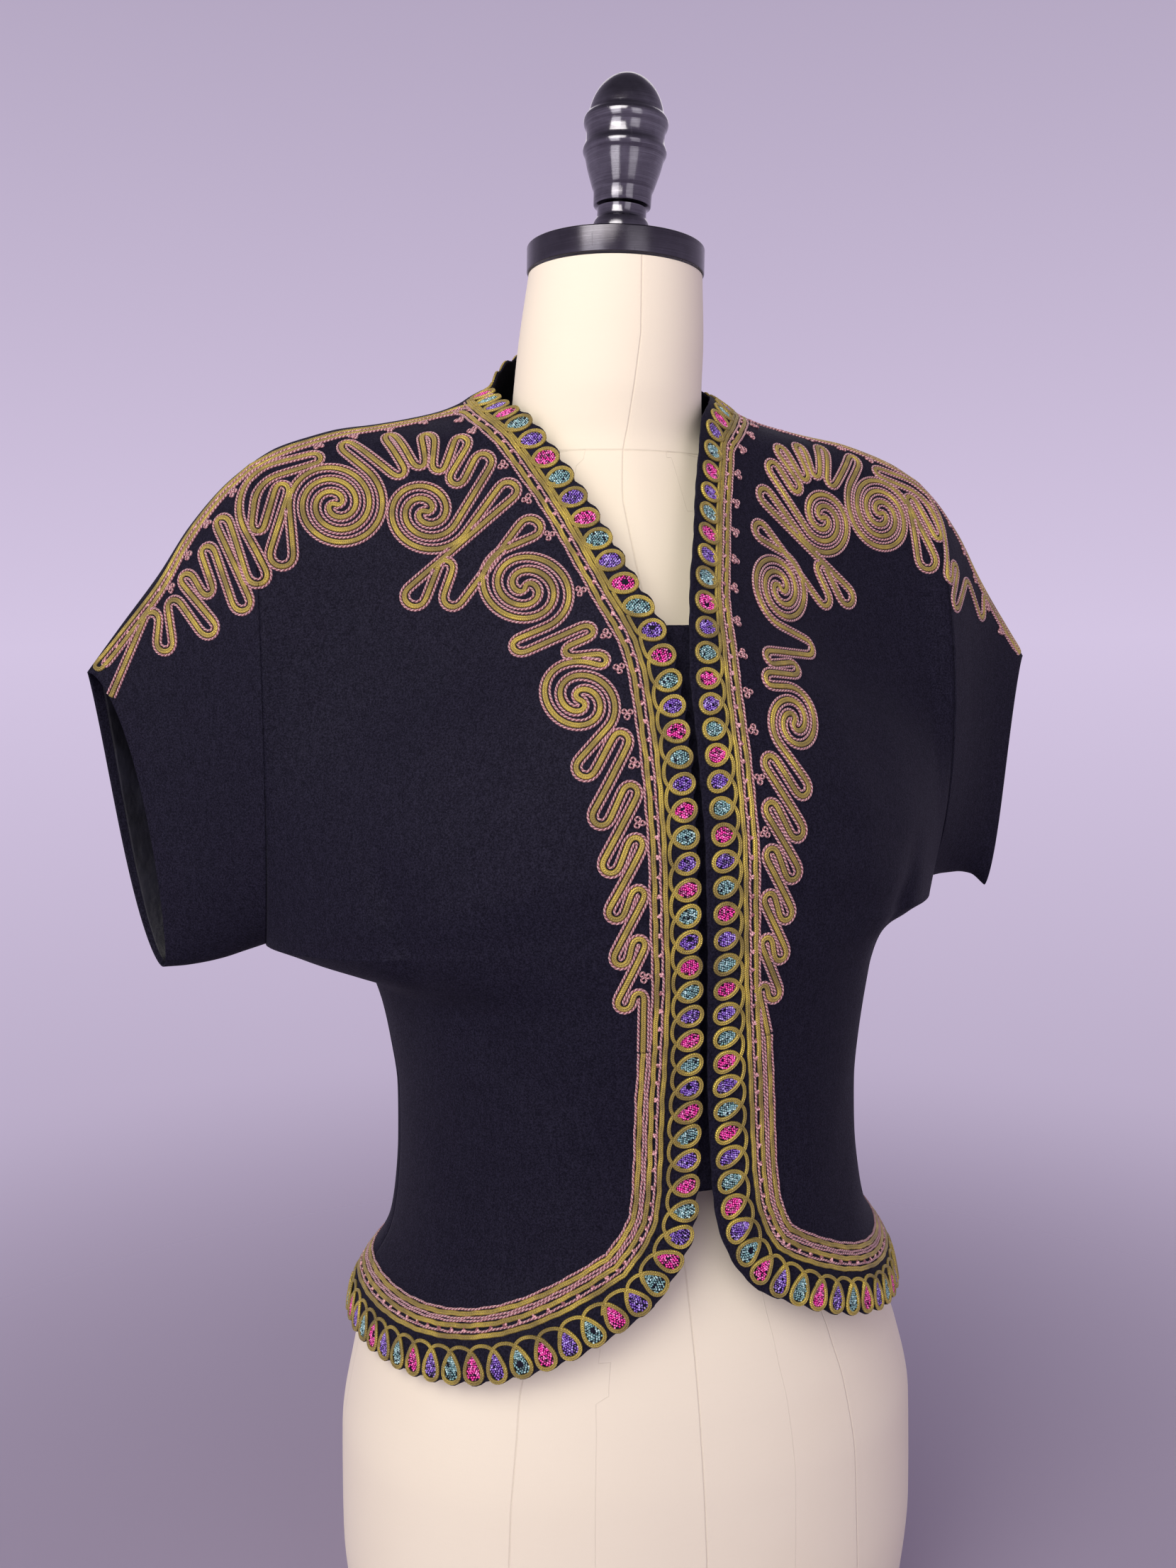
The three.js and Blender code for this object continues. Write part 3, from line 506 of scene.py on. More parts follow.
# the surface that the trimmings lie on, before the edge is scalloped
frontRows = np.concatenate([np.linspace(0, 1.2, 11), np.linspace(1.2, 15, 96)[1:], np.linspace(15, 27, 141)[1:]])
frontColumns = np.linspace(0, 1, 93) ** 1.22
backRows = np.concatenate([np.linspace(0, 1.2, 11), np.linspace(1.2, 15, 80)[1:], np.linspace(15, 25.5, 90)[1:],
                           np.linspace(25.5, 27, 22)[1:]])
neckShare = jacket["neckX"] / jacket["shoulderX"]
backColumns = np.concatenate([np.linspace(0, neckShare, 40), np.linspace(neckShare, 1, 60)[1:]])
sleeve = {"sides": 112, "rings": 84, "lining": (0.28, 0.955), "liningRings": 60, "liningDepth": 2.9}


def mirroredBack(halves):
    return np.concatenate([halves[-1][:, :0:-1], halves[1]], 1)


plainFronts = {side: panelPoint(frontColumns[None, :], frontRows[:, None], side, -1) for side in (-1, 1)}
plainBacks = {side: panelPoint(backColumns[None, :], backRows[:, None], side, 1) for side in (-1, 1)}


def trimSurface():
    grids = [(plainFronts[side], False, side) for side in (-1, 1)]
    grids.append((mirroredBack(plainBacks), False, -1))
    for side in (-1, 1):
        grids.append((sleeveRing(np.linspace(0, 1, sleeve["rings"]), side, sleeve["sides"]), True, side))
    points, faces, start = [], [], 0
    for grid, ring, sign in grids:
        grid = softened(grid, gridNormals(grid, ring, sign))
        points += grid.reshape(-1, 3).tolist()
        faces += gridQuads(*grid.shape[:2], ring, start, sign < 0).tolist()
        start = len(points)
    return BVHTree.FromPolygons(points, faces)


clothTree = trimSurface()


def nearest(point):
    place, normal, _, _ = clothTree.find_nearest(Vector(point))
    return np.array(place), np.array(normal)


# a border map: points and normals by distance along the edge and distance in from it
border = {"step": 1.5, "reach": 42.0}


def smoothedAlong(values, width):
    kernel = np.exp(-0.5 * (np.arange(-3 * width, 3 * width + 1) / width) ** 2)
    kernel /= kernel.sum()
    padded = np.concatenate([np.repeat(values[:1], 3 * width, 0), values, np.repeat(values[-1:], 3 * width, 0)])
    flat = padded.reshape(len(padded), -1)
    done = np.stack([np.convolve(flat[:, k], kernel, 'valid') for k in range(flat.shape[1])], -1)
    return done.reshape(values.shape)


def march(edge, way, count, step):      # places and normals at even steps over the cloth, in from an edge
    tangents = unit(smoothedAlong(np.gradient(edge, axis=0), 3))
    places = np.zeros((len(edge), count, 3))
    normals = np.zeros_like(places)
    for i, point in enumerate(edge):
        inside, normal = nearest(point)
        inward = unit(np.cross(tangents[i], normal) * way)
        for j in range(count):
            places[i, j], normals[i, j] = inside, normal
            ahead, normal = nearest(inside + inward * step)
            inward = ahead - inside
            inward = unit(inward - normal * (inward @ normal))
            inside = ahead
    return places, normals


def borderMap(side):
    loop = loops[side]
    step = border["step"] * mm
    s = np.linspace(0, loop["s"][-1], int(loop["s"][-1] / step) + 1)
    edge = sampled(s, loop["s"], loop["points"])
    places, normals = march(edge, -side, int(border["reach"] / border["step"]), step)
    places[:, 1:] = smoothedAlong(places[:, 1:], 2)
    return {"s": s, "places": places, "normals": unit(smoothedAlong(normals, 2)), "step": step}


borders = {side: borderMap(side) for side in (-1, 1)}


def onBorder(side, s, d):      # metres along the edge and in from it
    chart = borders[side]
    s, d = np.broadcast_arrays(np.asarray(s, float), np.asarray(d, float))
    rows, columns = chart["places"].shape[:2]
    i = np.clip(s / chart["s"][1], 0, rows - 1.001)
    j = np.clip(d / chart["step"], 0, columns - 1.001)
    i0, j0 = i.astype(int), j.astype(int)
    fi, fj = (i - i0)[..., None], (j - j0)[..., None]
    found = []
    for values in (chart["places"], chart["normals"]):
        low = mix(values[i0, j0], values[i0, j0 + 1], fj)
        found.append(mix(low, mix(values[i0 + 1, j0], values[i0 + 1, j0 + 1], fj), fi))
    return found[0], unit(found[1])


# where the bead ovals stand along the edge
scallop = {
    "pitch": 12.6, "neckPitch": 14.3, "hemPitch": 13.0, "neckLevel": (0.60, 0.64), "middle": 7.4,
    "depth": 2.6, "reach": 8.5, "sharpness": 1.6, "ease": 1.5, "margin": 2.4,
    "fadeIn": 0.03, "past": 0.02, "fadeOut": 0.05,      # metres over which the margin comes and goes
}


def marginAt(side, s):      # the wearer's left front keeps a plain margin outside its ovals
    loop = loops[side]
    if side < 0:
        return 0 * s
    fadeIn = np.clip((s - loop["neck"]) / scallop["fadeIn"], 0, 1)
    fadeOut = np.clip((loop["corner"] + scallop["past"] - s) / scallop["fadeOut"], 0, 1)
    return scallop["margin"] * mm * fadeIn * fadeOut


def ovalPlaces(side):
    loop = loops[side]
    s = np.linspace(0, loop["s"][-1], 1500)
    line, _ = onBorder(side, s, marginAt(side, s) + scallop["middle"] * mm)
    level = np.interp(s, loop["s"], loop["points"][:, 2])
    pitch = np.interp(level, scallop["neckLevel"], [scallop["pitch"], scallop["neckPitch"]])
    pitch = np.where(s < loop["neck"], scallop["pitch"], pitch)
    pitch = np.where(s > loop["corner"], scallop["hemPitch"], pitch)
    steps = np.diff(lengthsAlong(line)) / (0.5 * (pitch[1:] + pitch[:-1]) * mm)
    run = np.concatenate([[0.0], np.cumsum(steps)])
    count = int(round(run[-1]))
    return np.interp((np.arange(count) + 0.5) * run[-1] / count, run, s)


ovals = {side: ovalPlaces(side) for side in (-1, 1)}


def notch(s, side):      # how far the cloth draws in between two ovals
    middles = ovals[side]
    phase = np.interp(s, middles, np.arange(len(middles)))
    plain = 1 - 0.85 * marginAt(side, s) / (scallop["margin"] * mm)
    wave = 0.5 - 0.5 * np.cos(2 * np.pi * phase)
    return scallop["depth"] * mm * plain * wave ** scallop["sharpness"]


def drawIn(grid, s, side):      # grid: the first axis runs away from the edge, the second along it
    away = lengthsAlong(grid)
    inward = unit(grid[3] - grid[0])
    share = np.clip(1 - away / (scallop["reach"] * mm), 0, 1) ** scallop["ease"]
    return grid + inward[None] * (share * notch(s, side)[None])[..., None]


def frontGrid(side):
    grid = plainFronts[side]
    loop = loops[side]
    edgeS = loop["neck"] + lengthsAlong(grid[::-1, 0])
    hemS = loop["corner"] + lengthsAlong(grid[0])
    grid = drawIn(grid.transpose(1, 0, 2), edgeS[::-1], side).transpose(1, 0, 2)
    return drawIn(grid, hemS, side)


def backGrid():
    halves = {}
    for side in (-1, 1):
        half = plainBacks[side]
        hemS = loops[side]["side"] + lengthsAlong(half[0, ::-1])[::-1]
        half = drawIn(half, hemS, side)
        neckS = lengthsAlong(half[-1])
        fade = np.clip((loops[side]["neck"] - neckS) / 0.006, 0, 1)
        upper = half[::-1]
        halves[side] = (upper + (drawIn(upper, neckS, side) - upper) * fade[None, :, None])[::-1]
    return mirroredBack(halves)


print("edge and border charted")

# finishes
crepeLook = {"dark": (0.0036, 0.0031, 0.0080), "light": (0.0165, 0.0150, 0.0290), "grain": 1150.0, "relief": 0.00022,
             "fixed": {"Sheen Weight": 0.02, "Sheen Roughness": 0.45, "Sheen Tint": (0.72, 0.70, 0.95, 1.0),
                       "Specular IOR Level": 0.07}}
satinLook = {"dark": (0.0022, 0.0022, 0.0048), "light": (0.0085, 0.0085, 0.0150), "pucker": 85.0,
             "fixed": {"Sheen Weight": 0.02, "Specular IOR Level": 0.22}}
# the cotton seam tone is the colour of a painted shadow line along the seams
cottonLook = {"base": (0.84, 0.76, 0.60), "warm": (0.79, 0.69, 0.52), "seam": (0.60, 0.50, 0.37), "weave": 1500.0,
              "fixed": {"Sheen Weight": 0.12, "Sheen Roughness": 0.5, "Specular IOR Level": 0.25}}
steelLook = {      # dark and light tone, least roughness and its spread, relief
    "brushedSteel": ((0.055, 0.052, 0.060), (0.095, 0.09, 0.105), 0.13, 0.12, 0.00006),
    "polishedSteel": ((0.095, 0.09, 0.105), (0.20, 0.195, 0.215), 0.08, 0.09, 0.00002),
}


def makeCrepe():
    paint = Paint("crepe", crepeLook["fixed"])
    place = paint.place()
    pebble = paint.noise(place, crepeLook["grain"], 3.0, 0.65)
    slub = paint.noise(paint.stretched(place, (1.0, 1.0, 0.35)), 420.0, 2.0)
    broad = paint.noise(place, 14.0, 2.0)
    tone = paint.step(pebble * 0.85 + slub * 0.15, 0.34, 0.72) * (0.85 + 0.3 * broad)
    paint.join("Base Color", paint.blend(tone, crepeLook["dark"], crepeLook["light"]))
    paint.join("Roughness", 0.74 - 0.14 * tone)
    paint.bump(pebble + 0.5 * slub, crepeLook["relief"], 0.75)
    return paint


def makeSatin():
    paint = Paint("satin", satinLook["fixed"])
    place = paint.place()
    pucker = paint.noise(paint.stretched(place, (1.0, 1.0, 0.45)), satinLook["pucker"], 3.0)
    thread = paint.noise(paint.stretched(place, (1.0, 1.0, 12.0)), 700.0)
    paint.join("Base Color", paint.blend(paint.step(pucker, 0.35, 0.7), satinLook["dark"], satinLook["light"]))
    paint.join("Roughness", 0.36 + 0.18 * thread)
    paint.bump(pucker + 0.04 * thread, 0.0022, 0.6)
    return paint


def makeCotton():
    paint = Paint("ivoryCotton", cottonLook["fixed"])
    place = paint.place()
    weave = paint.noise(paint.stretched(place, (1.0, 1.0, 0.4)), cottonLook["weave"], 2.0)
    slub = paint.noise(paint.stretched(place, (0.25, 0.25, 2.2)), 260.0, 2.0)
    stain = paint.noise(place, 5.0, 3.0)
    across, level, _ = paint.parts(paint.uv("seams"))
    upright = 1.0 - paint.step(abs(across), 0.0001, 0.0007)
    ring = 1.0 - paint.step(abs(level), 0.0001, 0.0007)
    beside = 1.0 - paint.step(abs(across), 0.0015, 0.007)
    stitch = paint.noise(paint.stretched(place, (1.0, 1.0, 1.6)), 520.0)
    seam = upright.most(ring)
    cloth = paint.blend(paint.step(stain, 0.38, 0.72) * 0.45, cottonLook["base"], cottonLook["warm"])
    cloth = paint.blend(paint.step(weave * 0.5 + slub * 0.5, 0.5, 0.75) * 0.10, cloth, cottonLook["warm"])
    # painted shadow: a dark line along each seam, made uneven by the stitch noise
    paint.join("Base Color", paint.blend(seam * (0.22 + 0.3 * stitch), cloth, cottonLook["seam"]))
    paint.join("Roughness", 0.82 + 0.12 * weave)
    paint.bump(0.10 * weave + 0.10 * slub + 0.35 * beside * stitch - 0.6 * seam, 0.0004, 0.8)
    return paint


def makeSteel(name):
    paint = Paint(name, {"Metallic": 1.0})
    dark, bright, low, spread, relief = steelLook[name]
    place = paint.place()
    lines = paint.noise(paint.stretched(place, (6.0, 6.0, 900.0)), 4.0, 3.0, 0.7)
    wear = paint.noise(place, 60.0, 4.0, 0.7)
    scratch = paint.step(paint.noise(paint.stretched(place, (900.0, 60.0, 120.0)), 1.0, 2.0), 0.66, 0.72)
    paint.join("Base Color", paint.blend(paint.step(lines * 0.6 + wear * 0.4, 0.35, 0.7), dark, bright))
    paint.join("Roughness", low + spread * wear + 0.12 * scratch)
    paint.bump(lines, relief, 0.5)
    return paint


crepe, satin, cotton = makeCrepe(), makeSatin(), makeCotton()
brushedSteel, polishedSteel = makeSteel("brushedSteel"), makeSteel("polishedSteel")
print("finishes made")


def addPanel(node, finish, grid, ring, sign, paints, dips=(), wall=jacket["wall"]):
    normals = gridNormals(grid, ring, sign)
    grid = softened(grid, normals)
    for edge in dips:
        grid = grid - normals * seamDip(grid, edge)[..., None]
    name = f"{node}_{finish}"
    shell(name, grid, gridNormals(grid, ring, sign), wall * mm, ring, sign, paints)
    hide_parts(node)


addPanel("front_right", "cloth", frontGrid(-1), False, -1, [crepe, satin], (-1,))
addPanel("front_left", "cloth", frontGrid(1), False, 1, [crepe, satin], (-1,))
addPanel("back", "cloth", backGrid(), False, -1, [crepe, satin], (-1, 0))
for sideName, side in (("right", -1), ("left", 1)):
    grid = sleeveRing(np.linspace(0, 1, sleeve["rings"]), side, sleeve["sides"])
    addPanel(f"sleeve_{sideName}", "cloth", grid, True, side, [crepe])
    inner = sleeveRing(np.linspace(*sleeve["lining"], sleeve["liningRings"]), side, sleeve["sides"])
    inner = inner - gridNormals(inner, True, side) * sleeve["liningDepth"] * mm
    addPanel(f"sleeve_lining_{sideName}", "satin", inner, True, side, [satin], wall=jacket["liningWall"])
print("jacket panels built")


underlap = {"x": (-16, 14, 16), "z": (346, 628, 150), "behind": 7.0, "wall": 1.0, "wave": 0.25}      # from, to, steps


def makeUnderlap():
    z, x = np.broadcast_arrays(np.linspace(*underlap["z"])[:, None], np.linspace(*underlap["x"])[None, :])
    y = along(frontEdge, 2, z) + underlap["behind"] + underlap["wave"] * np.sin(z / 21.0) * np.cos(x / 9.0)
    grid = np.stack([x, y + jacket["depthOffset"], z], -1) * mm
    piece = shell("underlap_cloth", grid, gridNormals(grid, False, 1), underlap["wall"] * mm, False, 1, [crepe])
    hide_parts("underlap")
    return piece


makeUnderlap()

# the dress form under the jacket
form = {
    "sides": 160, "rings": 230, "capLean": 1.5, "finialLean": 3.5,      # leans in degrees
    "neckSeam": 719.5, "neckDrop": 26, "girth": 1.25, "far": 1e3,
    "baseEdge": [(0, 5.0), (0.6, 2.2), (2.2, 0.6)], "baseMiddle": 3.0,      # height, how far in
    "centreSeam": [(150, 6.6), (263, 2.2), (560, -9), (692, -14), (719, -10.8), (732, -7.6), (779, -1), (823, 0)],
    "frontSeam": [(0, 0.60), (200, 0.565), (350, 0.56), (560, 0.60), (640, 0.62), (720, 0.60), (823, 0.58)],
}


def makeForm():
    top = formRings[-1][0]
    z = np.linspace(0, top, form["rings"])
    z = np.concatenate([[level for level, _ in form["baseEdge"]], z[1:-1], [top - 0.5, top]])
    middle, half, front, back, power = (along(formRings, k, z)[:, None] for k in range(1, 6))
    angle = np.linspace(0, 2 * np.pi, form["sides"], endpoint=False)[None, :]
    c, s = np.cos(angle), np.sin(angle)
    x = middle + half * np.sign(c) * np.abs(c) ** (2 / power)
    y = np.where(s < 0, front, back) * np.sign(s) * np.abs(s) ** (2 / power)
    lean = math.tan(math.radians(form["capLean"])) * np.clip((z - 780) / 43, 0, 1)[:, None]
    heights = z[:, None] - lean * x
    grid = np.stack([x, y + jacket["depthOffset"], heights], -1) * mm
    middlePoint = np.array([form["baseMiddle"], jacket["depthOffset"], 0.0]) * mm
    for i, (_, inset) in enumerate(form["baseEdge"]):      # the base edge is rounded over
        flat = grid[i] - middlePoint
        flat[:, :2] -= unit(flat[:, :2]) * inset * mm
        grid[i] = flat + middlePoint
    rows, columns = grid.shape[:2]
    points = np.concatenate([grid.reshape(-1, 3), [grid[0].mean(0)], [grid[-1].mean(0)]])
    faces = gridQuads(rows, columns, True).tolist()
    low, high = rows * columns, rows * columns + 1
    last = (rows - 1) * columns
    for k in range(columns):
        n = (k + 1) % columns
        faces.append([low, n, k])
        faces.append([high, last + k, last + n])
    piece = meshObject("form_cover", points, faces, [cotton])
    seamMap(piece, points)
    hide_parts("form_torso")
    return piece


def seamMap(piece, points):      # signed metres to the nearest upright seam and to the neck seam
    x, y, z = points.T / mm
    y = y - jacket["depthOffset"]
    middle = along(formRings, 1, z)
    half = along(formRings, 2, z)
    share = (x - middle) / half
    centre = x - np.interp(z, *zip(*form["centreSeam"]))
    girth = half * form["girth"]
    waist = np.interp(z, *zip(*form["frontSeam"]))
    below, far = z < form["neckSeam"], form["far"]
    uprights = [np.where(y < 0, centre, x - middle)]
    uprights += [np.where(below, (share + way * waist) * girth, far) for way in (-1, 1)]
    sides = np.where((np.abs(share) > 0.8) & below, y, far)
    stack = np.stack([*uprights, sides])
    closest = np.take_along_axis(stack, np.argmin(np.abs(stack), 0)[None], 0)[0]
    neck = z - (form["neckSeam"] + np.where(y < 0, 0, form["neckDrop"]) * np.clip(np.abs(y) / 50, 0, 1))
    layer = piece.data.uv_layers.new(name="seams")
    corners = np.zeros(len(piece.data.loops), np.int32)
    piece.data.loops.foreach_get("vertex_index", corners)
    values = np.stack([closest, neck], -1)[corners] * mm
    layer.data.foreach_set("uv", values.astype(np.float32).ravel())


formCover = makeForm()

# the neck cap and finial
cap = {"radius": 48.5, "height": 14.0, "base": 819.1, "wall": 1.1, "sides": 96, "hollow": 0.6,
       "rings": [(9.0, 0.35), (16.0, 0.25)], "bevel": 0.9}
finial = {
    "lift": 0.9, "aside": 2.4, "sides": 64, "height": 92.1,
    "profile": [      # radius, height
        (16.5, 0), (16.5, 7.8), (16.3, 8.8), (15.2, 13.4), (14.0, 14.6), (13.4, 15.8), (13.4, 20.6), (13.7, 21.0),
        (15.6, 21.6), (15.8, 22.2), (15.9, 29.4), (16.2, 29.8), (16.9, 31.2), (18.6, 36.6), (20.2, 41.2),
        (21.3, 46.4), (21.6, 47.4), (22.5, 48.6), (23.1, 50.6), (22.5, 52.7), (21.6, 54.2), (21.2, 57.0),
        (21.4, 60.4), (21.7, 61.6), (22.8, 63.4), (23.3, 65.8), (22.8, 68.0), (21.3, 69.5), (20.5, 70.1),
        (20.2, 72.6), (18.6, 78.0), (16.0, 82.8), (12.4, 87.0), (8.4, 89.9), (4.2, 91.6),
    ],
}


def clearSelection():
    if bpy.context.object and bpy.context.object.mode != 'OBJECT':
        bpy.ops.object.mode_set(mode='OBJECT')
    bpy.ops.object.select_all(action='DESELECT')


def chooseFaces(piece, keep):
    bpy.ops.mesh.select_all(action='DESELECT')
    bpy.ops.object.mode_set(mode='OBJECT')
    for polygon in piece.data.polygons:
        polygon.select = keep(polygon)
    bpy.ops.object.mode_set(mode='EDIT')
    bpy.ops.mesh.select_mode(type='FACE')


def useModifier(piece, kind, **settings):
    modifier = piece.modifiers.new(kind.lower(), kind)
    for key, value in settings.items():
        setattr(modifier, key, value)
    bpy.ops.object.modifier_apply(modifier=modifier.name)


def settle(piece, name, paint, node, turn, place):      # puts the finished piece's place into its mesh
    bpy.ops.object.mode_set(mode='OBJECT')
    piece.data.transform(Matrix.Translation(place) @ turn)
    piece.name = piece.data.name = name
    piece.data.materials.clear()
    piece.data.materials.append(paint.material)
    bpy.ops.object.shade_smooth_by_angle(angle=math.radians(40))
    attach(piece, "root")
    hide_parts(node)
    return piece


def makeCap():
    clearSelection()
    radius, height = cap["radius"] * mm, cap["height"] * mm
    bpy.ops.mesh.primitive_cylinder_add(vertices=cap["sides"], radius=radius, depth=height, location=(0, 0, 0))
    piece = bpy.context.object
    piece.data.transform(Matrix.Translation((0, 0, height / 2)))
    piece.matrix_world = Matrix.Identity(4)
    bpy.ops.object.mode_set(mode='EDIT')
    chooseFaces(piece, lambda face: face.normal.z < -0.9)      # a shallow hollow under the rim
    bpy.ops.mesh.inset(thickness=cap["wall"] * mm)
    bpy.ops.transform.translate(value=(0, 0, cap["hollow"] * mm))
    chooseFaces(piece, lambda face: face.normal.z > 0.9)       # and rings on the top
    for inset, rise in cap["rings"]:
        bpy.ops.mesh.inset(thickness=inset * mm)
        bpy.ops.transform.translate(value=(0, 0, rise * mm))
    bpy.ops.object.mode_set(mode='OBJECT')
    useModifier(piece, 'BEVEL', width=cap["bevel"] * mm, segments=4, limit_method='ANGLE', angle_limit=math.radians(50))
    turn = Matrix.Rotation(math.radians(form["capLean"]), 4, 'Y')
    place = (0, jacket["depthOffset"] * mm, cap["base"] * mm)
    return settle(piece, "form_cap_steel", brushedSteel, "form_neck_cap", turn, place)


def makeFinial():
    clearSelection()
    profile = finial["profile"]
    bpy.ops.mesh.primitive_circle_add(vertices=finial["sides"], radius=profile[0][0] * mm, fill_type='NGON')
    piece = bpy.context.object
    bpy.ops.object.mode_set(mode='EDIT')
    bpy.ops.mesh.select_all(action='SELECT')
    for (radius, height), (nextRadius, nextHeight) in zip(profile, profile[1:]):
        rise = {"value": (0, 0, (nextHeight - height) * mm)}
        bpy.ops.mesh.extrude_region_move(TRANSFORM_OT_translate=rise)
        share = nextRadius / radius
        bpy.ops.transform.resize(value=(share, share, 1), center_override=(0, 0, nextHeight * mm))
    bpy.ops.mesh.inset(thickness=2.0 * mm)
    bpy.ops.transform.translate(value=(0, 0, (finial["height"] - profile[-1][1]) * mm))
    bpy.ops.mesh.select_all(action='SELECT')
    bpy.ops.mesh.normals_make_consistent(inside=False)
    bpy.ops.object.mode_set(mode='OBJECT')
    useModifier(piece, 'SUBSURF', levels=1, render_levels=1)
    lean = math.radians(form["capLean"])
    turn = Matrix.Rotation(math.radians(form["finialLean"]), 4, 'Y')
    rise = Matrix.Rotation(lean, 3, 'Y') @ Vector((finial["aside"], 0, cap["height"] + finial["lift"]))
    place = (rise + Vector((0, jacket["depthOffset"], cap["base"]))) * mm
    return settle(piece, "form_finial_steel", polishedSteel, "form_finial", turn, place)


capPiece, finialPiece = makeCap(), makeFinial()
print("dress form built")


# floor
def makeFloor():
    clearSelection()
    radius = light["floorRadius"]
    bpy.ops.mesh.primitive_circle_add(vertices=96, radius=radius, fill_type='NGON', location=(0, 0, -0.5 * mm))
    floor = bpy.context.object
    floor.name = "floor"
    fixed = {"Base Color": (*light["floorColour"], 1.0), "Roughness": 0.9, "Specular IOR Level": 0.1}
    paint = Paint("paleFloor", fixed)
    away = paint.node('ShaderNodeVectorMath', {"operation": 'LENGTH'}, {0: paint.place()}, output="Value")
    paint.join("Alpha", 1.0 - paint.step(away, 0.08 * radius, 0.97 * radius))
    floor.data.materials.append(paint.material)


makeFloor()

# cords: a profile swept along a line that lies on the cloth
cordShape = {
    "gold": [(-1.45, -0.2), (-1.38, 0.45), (-0.9, 0.92), (-0.35, 1.0), (0, 0.85), (0.35, 1.0), (0.9, 0.92),
             (1.38, 0.45), (1.45, -0.2)],
    "pink": [(-0.6, -0.15), (-0.56, 0.45), (-0.24, 0.85), (0.24, 0.85), (0.56, 0.45), (0.6, -0.15)],
}
cordWidth = {"line": 0.86, "ring": 0.72, "tail": 0.64, "scroll": 0.90}      # gold cord, as shares of its full width
# the gold deep tone is painted shade for the cord's middle groove and the troughs between its plaits
goldLook = {"deep": (0.080, 0.055, 0.010), "body": (0.52, 0.385, 0.070), "dull": (0.235, 0.172, 0.040),
            "glint": (0.98, 0.78, 0.12), "plait": 0.0011,
            "fixed": {"Sheen Weight": 0.25, "Sheen Roughness": 0.35, "Sheen Tint": (1.0, 0.85, 0.4, 1.0),
                      "Specular IOR Level": 0.6}}
# the pink deep tone is painted shade for the troughs between the twisted strands
pinkLook = {"deep": (0.22, 0.07, 0.085), "body": (0.63, 0.29, 0.31), "light": (0.82, 0.50, 0.50), "twist": 0.0021,
            "fixed": {"Sheen Weight": 0.3, "Sheen Roughness": 0.4, "Specular IOR Level": 0.4}}


def makeGold():
    paint = Paint("goldSoutache", goldLook["fixed"])
    run, across, _ = paint.parts(paint.uv("lay"))
    plait = ((run - 0.9 * abs(across)) * (6.283 / goldLook["plait"])).sine()
    groove = 1.0 - paint.step(abs(across), 0.0001, 0.0005)
    place = paint.place()
    thread = paint.noise(place, 1500.0, 2.0)
    patch = paint.noise(place, 55.0, 3.0, 0.6)
    glint = paint.step(thread * 0.5 + patch * 0.5, 0.50, 0.62)
    body = paint.blend(paint.step(patch, 0.3, 0.7), goldLook["dull"], goldLook["body"])
    body = paint.blend(glint * (0.35 + 0.25 * plait), body, goldLook["glint"])
    # painted shade: the groove and the troughs between the plaits are darkened towards the deep tone
    body = paint.blend(0.30 * groove + 0.22 * (0.5 - 0.5 * plait), body, goldLook["deep"])
    paint.join("Base Color", body)
    paint.join("Metallic", 0.20 + 0.35 * glint)
    paint.join("Roughness", 0.50 - 0.18 * glint)
    paint.bump(0.6 * plait + 0.6 * thread - 1.2 * groove, 0.00016, 0.9)
    return paint


def makePink():
    paint = Paint("pinkTwist", pinkLook["fixed"])
    run, across, _ = paint.parts(paint.uv("lay"))
    twist = ((run + 1.1 * across) * (6.283 / pinkLook["twist"])).sine()
    thread = paint.noise(paint.place(), 1300.0, 2.0)
    strand = paint.step(twist, -0.85, 0.1)
    body = paint.blend(paint.step(thread, 0.35, 0.7), pinkLook["body"], pinkLook["light"])
    # painted shade: the troughs of the twist are darkened towards the deep tone, and the strands keep the body tone
    paint.join("Base Color", paint.blend(strand, pinkLook["deep"], body))
    paint.join("Roughness", 0.62 - 0.12 * strand)
    paint.bump(twist + 0.2 * thread, 0.00035, 1.0)
    return paint


def makeBead(name, dark, body, light):
    paint = Paint(name, {"Coat Weight": 0.6, "Coat Roughness": 0.04, "Specular IOR Level": 0.8, "IOR": 1.6})
    tone, beadGlint, _ = paint.parts(paint.uv("lay"))
    colour = paint.blend(paint.step(tone, 0.05, 0.55), dark, body)
    # painted glint: beads with a high random value are lightened towards the light tone
    colour = paint.blend(paint.step(beadGlint, 0.62, 1.0), colour, light)
    paint.join("Base Color", colour)
    paint.join("Roughness", 0.10 + 0.22 * beadGlint)
    return paint


glass = {      # dark, body, light; the dark to body blend is random tone per bead, and the light tone is a painted glint on a random share of the beads
    "purple": ((0.035, 0.012, 0.10), (0.17, 0.055, 0.46), (0.50, 0.36, 0.86)),
    "magenta": ((0.14, 0.004, 0.06), (0.85, 0.012, 0.36), (1.0, 0.22, 0.60)),
    "teal": ((0.03, 0.075, 0.08), (0.17, 0.36, 0.37), (0.50, 0.74, 0.74)),
}
trimPaints = {"gold_cords": makeGold(), "pink_cords": makePink()}
trimPaints["pink_knots"] = trimPaints["pink_cords"]
for colour, tones in glass.items():
    trimPaints["beads_" + colour] = makeBead(colour + "Glass", *tones)


class Trim:      # gathers the meshes of one piece
    def __init__(self, name, paint):
        self.name, self.paint = name, paint
        self.points, self.faces, self.lays, self.count, self.length = [], [], [], 0, 0.0

    def add(self, points, faces, lays):
        self.points.append(points)
        self.faces += [tuple(int(v) + self.count for v in face) for face in faces]
        self.lays.append(lays)
        self.count += len(points)

    def build(self):
        piece = meshObject(self.name, np.concatenate(self.points), self.faces, [self.paint])
        layer = piece.data.uv_layers.new(name="lay")
        layer.data.foreach_set("uv", np.concatenate(self.lays).astype(np.float32).ravel())
        return piece


